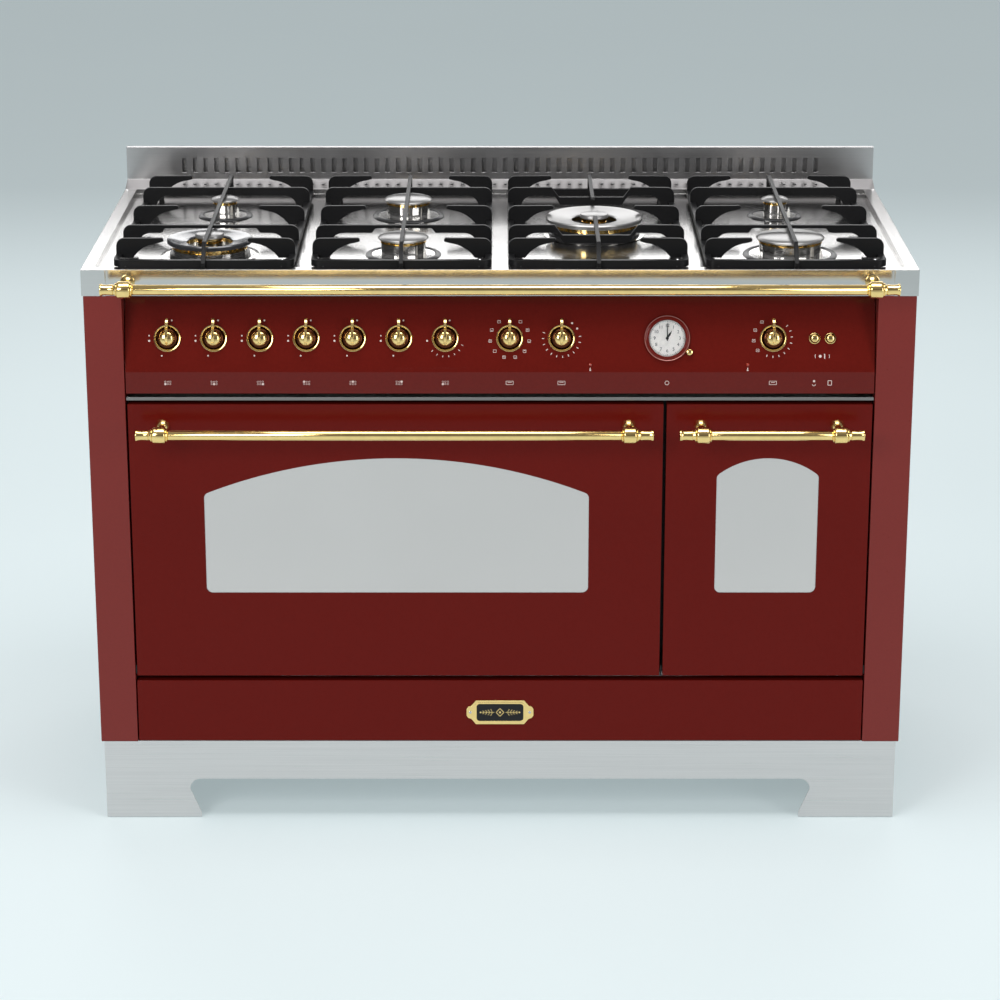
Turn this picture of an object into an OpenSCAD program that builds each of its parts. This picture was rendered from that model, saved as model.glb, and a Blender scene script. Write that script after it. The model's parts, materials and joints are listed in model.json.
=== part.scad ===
// Freestanding gas range, 1200 mm wide: seven burners, two ovens and a storage drawer.
// Every module is drawn in millimetres from the front plane of the doors (y = 0) and
// the floor (z = 0), with +Y to the back and +X to the right of someone facing it.

/* [Overall size] */
// Width over the hob
width = 1200; // [1000:10:1450]
// Depth of the body, from the front of the doors to the back
body_depth = 600; // [500:10:720]
// Height of the hob's rim above the floor
hob_height = 850; // [760:10:1000]
// Height of the rear upstand above the hob's rim
upstand_height = 62; // [50:1:120]

/* [Sheet metal] */
// Thickness of the enamelled outer panels
panel_sheet = 1.5; // [1:0.1:2]
// Thickness of the inner sheets, oven walls and hob
inner_sheet = 1.2; // [0.8:0.1:1.5]

/* [Cabinet] */
// How far the hob reaches past each side panel
hob_overhang = 2; // [0:0.5:6]
// Width of the front face folded from each side panel
pillar_w = 55; // [40:1:70]
// Depth of the fold behind each pillar
pillar_return = 43; // [35:1:43]
// Distance from the front plane to the frame behind the doors
frame_setback = 44; // [44:0.5:50]
// How far the back panel sits in from the back
back_recess = 25; // [22:1:30]

/* [Plinth] */
// Height of the plinth and its bracket feet
plinth_height = 125; // [100:1:160]
// Height of the plinth's apron between the feet
apron_height = 62; // [40:1:70]
// How far the plinth sits in from each side panel
plinth_inset = 4; // [1:0.5:8]
// How far the plinth sits back from the front plane
plinth_setback = 3; // [1:0.5:8]
// Width of a bracket foot at the floor
foot_base_w = 143; // [120:1:170]
// Width of a bracket foot at its neck
foot_neck_w = 127; // [100:1:118]
// Height of the upright toe of a bracket foot
foot_toe_h = 9; // [5:1:15]
// Radius between a foot and the apron
foot_corner_r = 16; // [8:1:20]
// Gap between the plinth and the floor
floor_gap = 1; // [0.5:0.5:3]
// Radius of a levelling foot's pad
pad_r = 20; // [15:1:25]
// Radius of a levelling foot's stem
stem_r = 5; // [4:0.5:6]

/* [Drawer] */
// Height of the drawer's front
drawer_h = 96; // [80:1:110]
// Gap under the drawer's front
drawer_gap = 1.5; // [1:0.5:3]
// Gap at each side of the drawer's front
drawer_side_gap = 2; // [1.5:0.5:4]
// Thickness of the drawer's front
drawer_front_t = 20; // [16:1:24]
// Gap between each side of the drawer's box and the cabinet opening
drawer_box_gap = 23; // [20:1:30]
// Width of the badge plate
badge_w = 84; // [60:1:100]
// Height of the badge plate
badge_h = 38; // [30:1:44]

/* [Doors] */
// Gap between the drawer's front and the doors
door_bottom_gap = 8.1; // [7:0.1:12]
// Gap between a door and the pillar beside it
door_side_gap = 3; // [2.6:0.1:4]
// Gap between the two doors
door_mid_gap = 5; // [4.6:0.1:8]
// Width of the small door
small_door_w = 298; // [270:1:330]
// Thickness of a door
door_t = 40; // [38:1:41]
// Depth of the outer panel's folded edge
door_fold = 22; // [20:1:24]
// Margin from the large door's edge to its window
large_window_margin = 107; // [90:1:130]
// Margin from the small door's edge to its window
small_window_margin = 74.5; // [60:0.5:90]
// Height of the windows' bottom edge above the doors' bottom
window_bottom = 130; // [110:1:150]
// Margin from the doors' top to the crown of the windows
window_top = 81.4; // [70:0.1:95]
// Rise of the arch on the large window
large_arch_rise = 55; // [30:1:60]
// Rise of the arch on the small window
small_arch_rise = 26.6; // [15:0.1:40]
// Corner radius of the windows
window_corner_r = 9; // [5:0.5:12]
// Overlap of a glass pane behind its opening
pane_lap = 10; // [6:1:14]
// Thickness of a glass pane
pane_t = 4; // [3:0.5:5]

/* [Hinges] */
// Distance of a hinge pin behind the door's face and above its bottom
hinge_in = 8; // [8:0.5:9]
// Radius of a hinge pin
hinge_pin_r = 3; // [2:0.1:3.5]
// Radial clearance of every turning fit
running_gap = 0.05; // [0.02:0.01:0.09]
// Radius of the boss round a hinge bore
hinge_boss_r = 6.2; // [5:0.1:6.3]
// Length of a hinge boss along the pin
hinge_boss_l = 18; // [12:1:24]

/* [Control panel] */
// Height of the control panel, lip and tilted face together
panel_height = 145.5; // [135:0.5:160]
// Height of the upright lip
lip_height = 32; // [24:1:36]
// Lean of the face away from upright
panel_tilt = 15.8; // [8:0.1:18]
// Setback of the lip from the front plane
panel_setback = 2; // [1:0.5:4]
// Distance of the control axes up the face
control_up = 49; // [44:1:58]
// Margin from the panel's left end to the first knob
first_margin = 61; // [50:1:70]
// Margin from the panel's right end to the last button
last_margin = 64.5; // [50:0.5:70]
// Height of the slot over the doors that holds the vent strip
vent_zone = 16; // [12:1:20]
// Height of the vent strip
vent_strip_h = 5; // [4:0.5:8]

/* [Knobs and clock] */
// Outer radius of a knob's bezel
bezel_r = 20; // [18:0.5:22]
// Height of a knob's bezel
bezel_h = 3.5; // [2:0.5:5]
// Radius of a knob
knob_r = 14; // [11:0.5:14.5]
// Length of a knob's lever from its axis
lever_l = 29; // [24:0.5:32]
// Radius of a knob's spindle
spindle_r = 4; // [3:0.1:4.5]
// Radius of a push button
button_r = 6; // [5:0.5:6.5]
// Radius of a push button's collar
collar_r = 8.5; // [7.5:0.5:8.5]
// Travel of a push button
button_travel = 3; // [2:0.5:3.5]
// Radius of the clock's outer ring
clock_r = 33; // [31:0.5:34]
// Radius of the clock's opening
dial_r = 26.5; // [24:0.5:27]
// Depth of the clock behind the panel
clock_depth = 32; // [25:1:40]
// Radius of the clock's setting button
clock_button_r = 4.75; // [3.5:0.25:5]
// Travel of the clock's setting button
clock_button_travel = 2; // [1:0.5:2]

/* [Rails and handles] */
// Distance of a rail's axis in front of the front plane
rail_reach = 50; // [40:1:60]
// Radius of a rail
rail_r = 7.5; // [6:0.5:8]
// Radius of a rail's ferrule
ferrule_r = 12.25; // [10:0.25:14]
// Length of a rail's ferrule
ferrule_l = 21; // [16:1:28]
// Radius of a rail's end cap
end_cap_r = 8.75; // [8:0.25:10]
// Radius of a rail's post
post_r = 5.5; // [4:0.5:6]
// Distance from the top rail's end to the hob's end
top_rail_margin = 33; // [20:1:50]
// Distance from the end of a rail to its post
post_inset = 34; // [28:1:45]
// Distance of a door handle's axis below the door's top
handle_drop = 32; // [25:1:45]
// Distance from a handle's end to the edge of its door
handle_margin = 16; // [10:1:25]

/* [Hob] */
// Height of the hob's front band
band_height = 38.5; // [34:0.5:46]
// Width of the raised rim
rim_w = 18; // [12:1:24]
// Depth of the tray below the rim
tray_drop = 8; // [5:0.5:10]
// Width of the plain blocks at the ends of the band
band_end_w = 35; // [20:1:50]
// Depth of the recess along the middle of the band
band_recess = 1; // [0.5:0.1:1.5]
// Depth of the upstand's foot and body together
upstand_depth = 42; // [36:1:50]
// Thickness of the upstand's body
upstand_t = 10; // [8:1:14]
// Rise of the upstand's sloping foot
upstand_foot_rise = 10; // [6:1:14]
// Distance between the slots of the upstand
slot_pitch = 17.2; // [14:0.1:22]
// Width of a slot
slot_w = 7.5; // [5:0.5:9]
// Height of a slot
slot_h = 23.5; // [18:0.5:26]
// Margin from the ends of the upstand to its slots
slot_margin = 91; // [70:1:120]

/* [Grates] */
// Margin from the hob's end to the first grate
grate_side_margin = 44; // [30:1:60]
// Gap between two grates
grate_gap = 24; // [16:1:40]
// Distance from the front plane to the grates
grate_front = 21; // [21:1:30]
// Distance from the grates to the back
grate_rear_margin = 77; // [70:1:90]
// Height of the grates' top above the tray
grate_height = 40; // [37:1:46]
// Width of a grate's frame bar
grate_bar_w = 9; // [7:0.5:11]
// Thickness of a grate's blades
grate_blade_t = 6; // [5:0.5:8]
// Height of the grates' frame above the tray
grate_foot_h = 7; // [5:0.5:9]
// Depth of a grate's bars over the open part of the tray
grate_bar_h = 12; // [9:1:14]
// Depth of the dip in the wok grate's middle bars
wok_dip = 15.5; // [8:0.5:17]

/* [Burners] */
// Height of the burner caps' top above the tray
cap_top = 31.5; // [29:0.5:32]
// Thickness of a burner cap
cap_t = 7; // [5:0.5:8]
// Depth of a burner's cup below the tray
cup_depth = 30; // [24:1:34]
// Outer radius of a gas tube
tube_r = 3.5; // [3:0.5:4]
// Outer radius of the gas manifold
manifold_r = 9; // [8:0.5:10]
// Radius of the gas inlet's threaded end
inlet_r = 10.48; // [10:0.01:13.2]

/* [Ovens] */
// Margin from the large door's edge to the oven's wall
large_oven_margin = 43.5; // [40:0.5:55]
// Margin from the small door's edge to the oven's wall
small_oven_margin = 29; // [28:0.5:40]
// Margin from the doors' bottom to the oven floor
oven_floor_up = 31.4; // [30:0.1:45]
// Margin from the doors' top to the oven roof
oven_roof_down = 28; // [25:1:40]
// Space behind the ovens
oven_back_space = 100; // [90:1:120]
// Thickness of a rack's rods
rack_rod = 4; // [3:0.5:5]
// Distance between a rack's rods
rack_pitch = 30; // [20:1:40]
// Radius of the convection fan
fan_r = 60; // [45:1:70]

/* [Hidden] */
$fn = 48;

enamel = [0.40, 0.09, 0.08];
enamel_light = [0.48, 0.18, 0.17];
stainless = [0.72, 0.72, 0.73];
galvanised = [0.58, 0.60, 0.62];
dark_enamel = [0.17, 0.17, 0.19];
gold = [0.88, 0.74, 0.38];
cast_black = [0.13, 0.13, 0.14];
eps = 0.02;
rest_gap = 0.1;

// places across the range
cab_half = width / 2 - hob_overhang;
open_half = cab_half - pillar_w;
plinth_half = cab_half - plinth_inset;
inner_half = cab_half - panel_sheet - 0.5;
front_y = (rail_reach + ferrule_r - body_depth) / 2;

// heights
drawer_z = plinth_height + drawer_gap;
door_z = drawer_z + drawer_h + door_bottom_gap;
band_z = hob_height - band_height;
panel_z = band_z - panel_height;
face_z = panel_z + lip_height;
door_top = panel_z - vent_zone;
tray_z = hob_height - tray_drop;
deck_z = tray_z - inner_sheet;
base_z = plinth_height + panel_sheet;

// doors, as [left edge, right edge]
small_door = [open_half - door_side_gap - small_door_w, open_half - door_side_gap];
large_door = [-open_half + door_side_gap, small_door[0] - door_mid_gap];
hinge_z = door_z + hinge_in;

// ovens
large_oven = [large_door[0] + large_oven_margin, large_door[1] - large_oven_margin];
small_oven = [small_door[0] + small_oven_margin, small_door[1] - small_oven_margin];
oven_z0 = door_z + oven_floor_up;
oven_z1 = door_top - oven_roof_down;
oven_y0 = frame_setback + inner_sheet;
oven_y1 = body_depth - oven_back_space;
fan_x = (large_oven[0] + large_oven[1]) / 2;
fan_z = (oven_z0 + oven_z1) / 2;
cover_half = fan_r + 45;
cover_y = oven_y1 - 32;
rack_front = oven_y0 + 18;
rack_back = cover_y - 10;
small_rack_z = (oven_z0 + oven_z1) / 2;
large_rack_z = [oven_z0 + (oven_z1 - oven_z0) * 0.28, oven_z0 + (oven_z1 - oven_z0) * 0.6];

// controls: every one sits on a grid whose step fills the panel
panel_half = open_half - 1.5;
last_step = 14.31;
control_pitch = (2 * panel_half - first_margin - last_margin) / last_step;
burner_knob_steps = [0, 1, 2, 3, 4, 5, 6];
oven_knob_steps = [7.39, 8.51, 13.08];
button_steps = [last_step - 0.34, last_step];
lamp_steps = [9.13, 12.53];
clock_step = 10.79;
lamp_up = 11;
lamp_r = 2.5;
button_z = 3.5;
clock_button_at = [32.2, -20.2];
tap_front = 28;
tap_back = 62.8;
tap_r = 11;
tap_outlet_depth = 50;
manifold_depth = tap_back + 0.2 + manifold_r;

// grates and burners
grate_pitch = (width - 2 * grate_side_margin + grate_gap) / 4;
grate_w = grate_pitch - grate_gap;
grate_end = body_depth - grate_rear_margin;
row_first = grate_front + 45;
row_last = grate_end - 13;
row_mid = (row_first + row_last) / 2;
row_quarter = (row_last - row_first) * 0.302;
row_a = row_mid - row_quarter;
row_b = row_mid + row_quarter;
front_burner_y = row_first + 64;
rear_burner_y = row_b - 26;
wok_y = row_mid - 24;
frame_low = tray_z + grate_foot_h;
frame_top = frame_low + 10;
grate_top = tray_z + grate_height;
blade_under = grate_top - 5;
inlet_x = open_half + 2;

// one row for each burner: [grate, y, cap radius, seat radius, cup radius, inner radius,
// height of its cap below cap_top]; an inner radius above zero means a ring burner with a
// small burner inside it
BURNERS = [
    [0, front_burner_y, 62.5, 72, 58, 34, 6],
    [0, rear_burner_y, 22, 42, 26, 0, 0],
    [1, front_burner_y, 37, 55.5, 40, 0, 0],
    [1, rear_burner_y, 37, 55.5, 40, 0, 0],
    [2, wok_y, 72.5, 71, 58, 34, 2.5],
    [3, front_burner_y, 50, 69, 52, 0, 0],
    [3, rear_burner_y, 21.5, 42, 26, 0, 0]
];
inner_cap_r = 21.5;
inner_cap_up = 2.5;
// half width of the arch in each grate's two full bars, which clears the caps below
BAR_ARCHES = [[67, 27], [41, 41], [0, 0], [54, 27]];

function grate_x(i) = (i - 1.5) * grate_pitch;
function control_x(step) = -panel_half + first_margin + step * control_pitch;
function face_y(z) = panel_setback + (z - face_z) * tan(panel_tilt);
function arc(cx, cy, r, a0, a1, n) =
    [for (i = [0:n]) let (a = a0 + (a1 - a0) * i / n) [cx + r * cos(a), cy + r * sin(a)]];

// outline of an arched window: half width, bottom, crown, rise of the arch, corner radius
function arched(half, low, high, rise, r) =
    let (
        big = (half * half + rise * rise) / (2 * rise),
        mid = high - big,
        side = mid + sqrt((big - r) * (big - r) - (half - r) * (half - r)),
        turn = atan2(side - mid, half - r)
    )
    concat(
        arc(half - r, low + r, r, -90, 0, 6),
        arc(half - r, side, r, 0, turn, 5),
        arc(0, mid, big, turn, 180 - turn, 40),
        arc(r - half, side, r, 180 - turn, 180, 5),
        arc(r - half, low + r, r, 180, 270, 6)
    );

module from_front() {
    translate([0, front_y, 0]) children();
}

// a box given by its low and high corners
module block(low, high) {
    translate(low) cube(high - low);
}

// an upright outline in x and z, given thickness from y on
module upright(y, t) {
    translate([0, y + t, 0]) rotate([90, 0, 0]) linear_extrude(t) children();
}

// an outline in y and z, run along x
module along_x(x0, x1) {
    translate([x0, 0, 0]) rotate([90, 0, 90]) linear_extrude(x1 - x0) children();
}

module rod_x(x0, x1, y, z, r) {
    translate([x0, y, z]) rotate([0, 90, 0]) cylinder(h = x1 - x0, r = r);
}

module rod_y(x, y0, y1, z, r) {
    translate([x, y0, z]) rotate([-90, 0, 0]) cylinder(h = y1 - y0, r = r);
}

// a place on the panel's face: x to the right, y up the face, z out of it
module on_face(x, up) {
    translate([x, panel_setback, face_z]) rotate([90 - panel_tilt, 0, 0])
        translate([0, up, 0]) children();
}

// ---- cabinet ----

module side_panel(side) {
    color(enamel_light) from_front() mirror([side < 0 ? 1 : 0, 0, 0])
        translate([0, 0, plinth_height]) linear_extrude(band_z - plinth_height) {
            translate([cab_half - panel_sheet, 0]) square([panel_sheet, body_depth]);
            translate([open_half, 0]) square([pillar_w, panel_sheet]);
            translate([open_half, 0]) square([panel_sheet, pillar_return]);
            translate([cab_half - 18, body_depth - panel_sheet]) square([18, panel_sheet]);
        }
}
module side_panel_left() { side_panel(-1); }
module side_panel_right() { side_panel(1); }

module back_panel() {
    back_y = body_depth - back_recess;
    vent_rows = 8;
    vent_cols = 6;
    vent_w = 80;
    anti_tip_r = 4;
    color(galvanised) from_front() difference() {
        union() {
            block([-inner_half, back_y, base_z], [inner_half, back_y + inner_sheet, band_z]);
            for (side = [-1, 1])
                translate([side * (inner_half - inner_sheet / 2), back_y, base_z])
                    translate([-inner_sheet / 2, 0, 0])
                        cube([inner_sheet, back_recess - 3, band_z - base_z]);
        }
        for (col = [0:vent_cols - 1], row = [0:vent_rows - 1])
            translate([(col - (vent_cols - 1) / 2) * vent_w * 1.5 - vent_w / 2, back_y - 1,
                       base_z + 90 + row * 14])
                cube([vent_w, inner_sheet + 2, 5]);
        on_back(inlet_x, back_y) cylinder(h = inner_sheet + 2, r = inlet_r + 1.5);
        for (side = [-1, 1])
            translate([side * (cab_half - 118), back_y - 1, base_z + 523.5])
                rotate([-90, 0, 0]) cylinder(h = inner_sheet + 2, r = anti_tip_r);
    }
}

// the gas inlet's axis, square to the back
module on_back(x, y) {
    translate([x, y - 1, manifold_z()]) rotate([-90, 0, 0]) children();
}
function manifold_z() =
    face_z + control_up * cos(panel_tilt) - manifold_depth * sin(panel_tilt);
function manifold_y() =
    panel_setback + control_up * sin(panel_tilt) + manifold_depth * cos(panel_tilt);

module base_pan() {
    color(galvanised) from_front() {
        block([0.5 - open_half, 24, plinth_height], [open_half - 0.5, 60, base_z]);
        block([-inner_half, pillar_return + 0.5, plinth_height],
              [inner_half, body_depth - 2, base_z]);
    }
}

// outline of one side of the plinth, cut away between its two bracket feet
module plinth_side(length) {
    neck_z = plinth_height - apron_height - foot_corner_r;
    difference() {
        translate([0, floor_gap]) square([length, plinth_height - floor_gap]);
        polygon(concat(
            [[foot_base_w, -1], [foot_base_w, foot_toe_h]],
            arc(foot_neck_w + foot_corner_r, neck_z, foot_corner_r, 180, 90, 8),
            arc(length - foot_neck_w - foot_corner_r, neck_z, foot_corner_r, 90, 0, 8),
            [[length - foot_base_w, foot_toe_h], [length - foot_base_w, -1]]
        ));
    }
}

module plinth() {
    side_l = body_depth - 5 - plinth_setback;
    flange = 20;
    flange_z = plinth_height - panel_sheet;
    color(stainless) from_front() {
        upright(plinth_setback, panel_sheet)
            translate([-plinth_half, 0]) plinth_side(2 * plinth_half);
        for (x = [-plinth_half, plinth_half - panel_sheet])
            along_x(x, x + panel_sheet)
                translate([plinth_setback, 0]) plinth_side(side_l);
        block([-plinth_half, plinth_setback, flange_z],
              [plinth_half, plinth_setback + flange, plinth_height]);
        for (x = [-plinth_half, plinth_half - flange])
            block([x, plinth_setback, flange_z],
                  [x + flange, plinth_setback + side_l, plinth_height]);
    }
}

module leveling_feet() {
    bracket = 50;
    bracket_z = plinth_height - 13;
    color(cast_black) from_front()
        for (x = [-1, 1], y = [62, body_depth - 62])
            translate([x * (plinth_half - 50), y, 0]) {
                cylinder(h = 8, r1 = pad_r, r2 = pad_r - 5);
                cylinder(h = bracket_z + 1, r = stem_r);
                translate([0, 0, bracket_z - 14]) cylinder(h = 6, r = stem_r * 1.9, $fn = 6);
                translate([-bracket / 2, -bracket / 2, bracket_z])
                    cube([bracket, bracket, plinth_height - bracket_z]);
            }
}

module front_frame() {
    color(galvanised) from_front() difference() {
        block([-open_half + 0.5, frame_setback, base_z],
              [open_half - 0.5, frame_setback + inner_sheet, panel_z - 6]);
        for (oven = [large_oven, small_oven])
            block([oven[0], frame_setback - 1, oven_z0],
                  [oven[1], frame_setback + 3, oven_z1]);
        block([-open_half + 5, frame_setback - 1, base_z + 1.5],
              [open_half - 5, frame_setback + 3, drawer_z + drawer_h + 3.5]);
    }
}

// ---- hob ----

module hob_top() {
    wall = 3;
    flue_half = width / 2 - slot_margin;
    color(stainless) from_front() difference() {
        block([-width / 2, 0, band_z], [width / 2, body_depth, hob_height]);
        block([-width / 2 + inner_sheet, wall, band_z - 1],
              [width / 2 - inner_sheet, body_depth - inner_sheet, deck_z]);
        block([-width / 2 + rim_w, rim_w, tray_z],
              [width / 2 - rim_w, body_depth - upstand_depth + 2, hob_height + 1]);
        block([-width / 2 + band_end_w, -1, band_z - 1],
              [width / 2 - band_end_w, band_recess, hob_height + 1]);
        block([-flue_half, body_depth - upstand_depth + 12, deck_z - 1],
              [flue_half, body_depth - upstand_t - 2, hob_height + 1]);
        for (b = BURNERS)
            translate([grate_x(b[0]), b[1], deck_z - 1]) cylinder(h = 8, r = b[4]);
    }
}

module rear_upstand() {
    foot_y = body_depth - upstand_depth;
    wall_y = body_depth - upstand_t;
    top_z = hob_height + upstand_height;
    slope = upstand_foot_rise / (wall_y - foot_y);
    lean = atan(slope);
    drop = inner_sheet / cos(lean);
    slots = floor((width - 2 * slot_margin) / slot_pitch);
    slot_z = hob_height + upstand_height / 2 + 2 - slot_h / 2;
    outline = [
        [foot_y, hob_height], [wall_y, hob_height + upstand_foot_rise], [wall_y, top_z],
        [body_depth, top_z], [body_depth, hob_height]
    ];
    color(stainless) from_front() difference() {
        union() {
            along_x(-width / 2, width / 2) polygon(concat(outline, [
                [body_depth - inner_sheet, hob_height],
                [body_depth - inner_sheet, top_z - inner_sheet],
                [wall_y + inner_sheet, top_z - inner_sheet],
                [wall_y + inner_sheet, hob_height + upstand_foot_rise - drop
                                       + inner_sheet * slope],
                [foot_y + drop / slope, hob_height]
            ]));
            for (x = [-width / 2, width / 2 - inner_sheet])
                along_x(x, x + inner_sheet) polygon(outline);
        }
        for (i = [0:slots])
            translate([(i - slots / 2) * slot_pitch, 0, 0]) {
                translate([-slot_w / 2, wall_y - 1, slot_z])
                    cube([slot_w, inner_sheet + 2, slot_h]);
                translate([0, (foot_y + wall_y) / 2, hob_height + upstand_foot_rise / 2])
                    rotate([lean, 0, 0]) translate([0, 0, -3]) cylinder(h = 6, r = 2.5);
            }
    }
}

// a brass rail with ferrules, end caps and posts that stand on a face at y = face
module rail(x0, x1, z, face) {
    cap_l = 20;
    color(gold) from_front() {
        rod_x(x0 + 1, x1 - 1, -rail_reach, z, rail_r);
        for (end = [0, 1]) translate([end == 0 ? x0 : x1, -rail_reach, z])
            mirror([end, 0, 0]) rotate([0, 90, 0]) rotate_extrude()
                polygon([[0, 0], [end_cap_r - 3, 0], [end_cap_r, 3], [end_cap_r, 8],
                         [rail_r, cap_l], [0, cap_l]]);
        for (x = [x0 + post_inset, x1 - post_inset]) {
            rod_x(x - ferrule_l / 2, x + ferrule_l / 2, -rail_reach, z, ferrule_r);
            rod_y(x, -rail_reach, face, z, post_r);
            translate([x, face, z]) rotate([90, 0, 0])
                cylinder(h = 6, r1 = post_r + 5, r2 = post_r + 1);
        }
    }
}
module top_rail() {
    half = width / 2 - top_rail_margin;
    rail(-half, half, hob_height - band_height / 2 + 2, 0);
}

// ---- control panel ----

module control_panel() {
    t = panel_sheet;
    corner = t * tan(panel_tilt / 2);
    top_y = face_y(band_z);
    holes = concat(burner_knob_steps, oven_knob_steps);
    color(enamel) from_front() difference() {
        along_x(-panel_half, panel_half) polygon([
            [panel_setback, panel_z], [panel_setback, face_z], [top_y, band_z],
            [top_y + 10, band_z], [top_y + 10, band_z - t],
            [face_y(band_z - t) + t / cos(panel_tilt), band_z - t],
            [panel_setback + t, face_z - corner], [panel_setback + t, panel_z + t],
            [panel_setback + 38, panel_z + t], [panel_setback + 38, panel_z]
        ]);
        for (step = holes)
            on_face(control_x(step), control_up) translate([0, 0, -5])
                cylinder(h = 10, r = spindle_r + 1.5);
        for (step = button_steps)
            on_face(control_x(step), control_up) translate([0, 0, -5])
                cylinder(h = 10, r = 4);
        for (step = lamp_steps)
            on_face(control_x(step), lamp_up) translate([0, 0, -5])
                cylinder(h = 10, r = lamp_r + 0.1);
        on_face(control_x(clock_step), control_up) {
            translate([0, 0, -5]) cylinder(h = 10, r = dial_r - 0.5);
            translate([clock_button_at[0], clock_button_at[1], -5]) cylinder(h = 10, r = 2.6);
        }
    }
}

module vent_strip() {
    low = door_top + (vent_zone - vent_strip_h) / 2;
    color(stainless) from_front() {
        block([-panel_half, 2, low], [panel_half, 3.2, low + vent_strip_h]);
        block([-panel_half, 2, low], [panel_half, frame_setback, low + 1]);
    }
}

module knob_bezels() {
    rim = 1.2;
    color(gold) from_front() {
        for (step = concat(burner_knob_steps, oven_knob_steps))
            on_face(control_x(step), control_up) rotate_extrude() polygon([
                [spindle_r + 1.5, 0], [bezel_r, 0], [bezel_r, bezel_h - rim],
                [bezel_r - rim, bezel_h], [bezel_r - 3, bezel_h], [bezel_r - 5, 1],
                [spindle_r + 1.5, 1]
            ]);
        for (step = button_steps)
            on_face(control_x(step), control_up) rotate_extrude() polygon([
                [button_r + 0.5, 0], [collar_r, 0], [collar_r, 3], [collar_r - 0.8, 3.8],
                [button_r + 0.5, 3.8]
            ]);
    }
}

// brass knob on its steel spindle: a dome with a slim lever that points up the face
module knob(step) {
    lever_t = 4.5;
    low = 1.6;
    color(gold) from_front() on_face(control_x(step), control_up) {
        rotate_extrude() polygon([
            [0, -44], [spindle_r, -44], [spindle_r, low], [knob_r - 1.5, low],
            [knob_r, low + 2], [knob_r, 8], [knob_r * 0.9, 11], [knob_r * 0.7, 13.6],
            [knob_r * 0.4, 15.4], [0, 16]
        ]);
        translate([-lever_t / 2, 0, 0]) rotate([90, 0, 90]) linear_extrude(lever_t) polygon([
            [-knob_r * 0.6, 9], [knob_r * 0.8, bezel_h + 3], [lever_l - 2, bezel_h + 3.5],
            [lever_l, bezel_h + 5.5], [lever_l - 1.5, 13], [knob_r, 18.5], [0, 20],
            [-knob_r * 0.6, 16.5]
        ]);
    }
}
module knob_burner_1() { knob(burner_knob_steps[0]); }
module knob_burner_2() { knob(burner_knob_steps[1]); }
module knob_burner_3() { knob(burner_knob_steps[2]); }
module knob_burner_4() { knob(burner_knob_steps[3]); }
module knob_burner_5() { knob(burner_knob_steps[4]); }
module knob_burner_6() { knob(burner_knob_steps[5]); }
module knob_burner_7() { knob(burner_knob_steps[6]); }
module knob_oven_mode() { knob(oven_knob_steps[0]); }
module knob_oven_heat() { knob(oven_knob_steps[1]); }
module knob_small_oven() { knob(oven_knob_steps[2]); }

module push_button(step) {
    color(gold) from_front() on_face(control_x(step), control_up) rotate_extrude() polygon([
        [0, -17], [3, -17], [3, button_z], [button_r, button_z], [button_r, 7],
        [button_r - 1.5, 8.5], [0, 9]
    ]);
}
module button_left() { push_button(button_steps[0]); }
module button_right() { push_button(button_steps[1]); }

module indicator_lamps() {
    color("red") from_front() for (step = lamp_steps)
        on_face(control_x(step), lamp_up) rotate_extrude() polygon([
            [0, -14], [lamp_r, -14], [lamp_r, 0.8], [lamp_r - 1, 1.8], [0, 2.2]
        ]);
}

// ---- clock ----

module on_clock() {
    from_front() on_face(control_x(clock_step), control_up) children();
}

module clock_case() {
    drum_r = dial_r - 1;
    color(enamel) on_clock() rotate_extrude() polygon([
        [0, -clock_depth], [drum_r, -clock_depth], [drum_r, 0], [clock_r, 0],
        [clock_r, 3.6], [clock_r - 1.2, 5], [dial_r + 1, 5], [dial_r, 4.2],
        [dial_r, 0.6], [drum_r - inner_sheet, 0.6], [drum_r - inner_sheet, -clock_depth + 1],
        [0, -clock_depth + 1]
    ]);
}

module clock_dial() {
    color("ivory") on_clock() rotate_extrude()
        polygon([[1.3, 0.7], [dial_r - 0.2, 0.7], [dial_r - 0.2, 1.3], [1.3, 1.3]]);
}

module clock_glass() {
    color([0.9, 0.95, 1, 0.35]) on_clock() translate([0, 0, 4])
        cylinder(h = 0.8, r = dial_r - 0.2);
}

// a flat hand that points to twelve, with a round hub and its arbor
module hour_hand() {
    color("black") on_clock() rotate([0, 0, -32]) {
        translate([0, 0, 1.8]) linear_extrude(0.5) difference() {
            union() {
                circle(r = 2.2);
                polygon([[-1.1, 0], [-1.5, 6], [0, 13], [1.5, 6], [1.1, 0]]);
            }
            circle(r = 0.68);
        }
        rotate_extrude()
            polygon([[0.68, -10], [1.1, -10], [1.1, 2.3], [0.68, 2.3]]);
    }
}

module minute_hand() {
    color("black") on_clock() {
        translate([0, 0, 2.8]) linear_extrude(0.4) {
            circle(r = 1.4);
            polygon([[-0.7, -4], [-0.5, 21.5], [0.5, 21.5], [0.7, -4]]);
        }
        translate([0, 0, -14]) cylinder(h = 17, r = 0.6);
    }
}

module clock_button() {
    color(gold) on_clock() translate([clock_button_at[0], clock_button_at[1], 0])
        rotate_extrude() polygon([
            [0, -14], [2, -14], [2, clock_button_travel + 0.5],
            [clock_button_r, clock_button_travel + 0.5], [clock_button_r, 6],
            [clock_button_r - 1, 7], [0, 7.3]
        ]);
}

// ---- gas and switches ----

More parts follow.
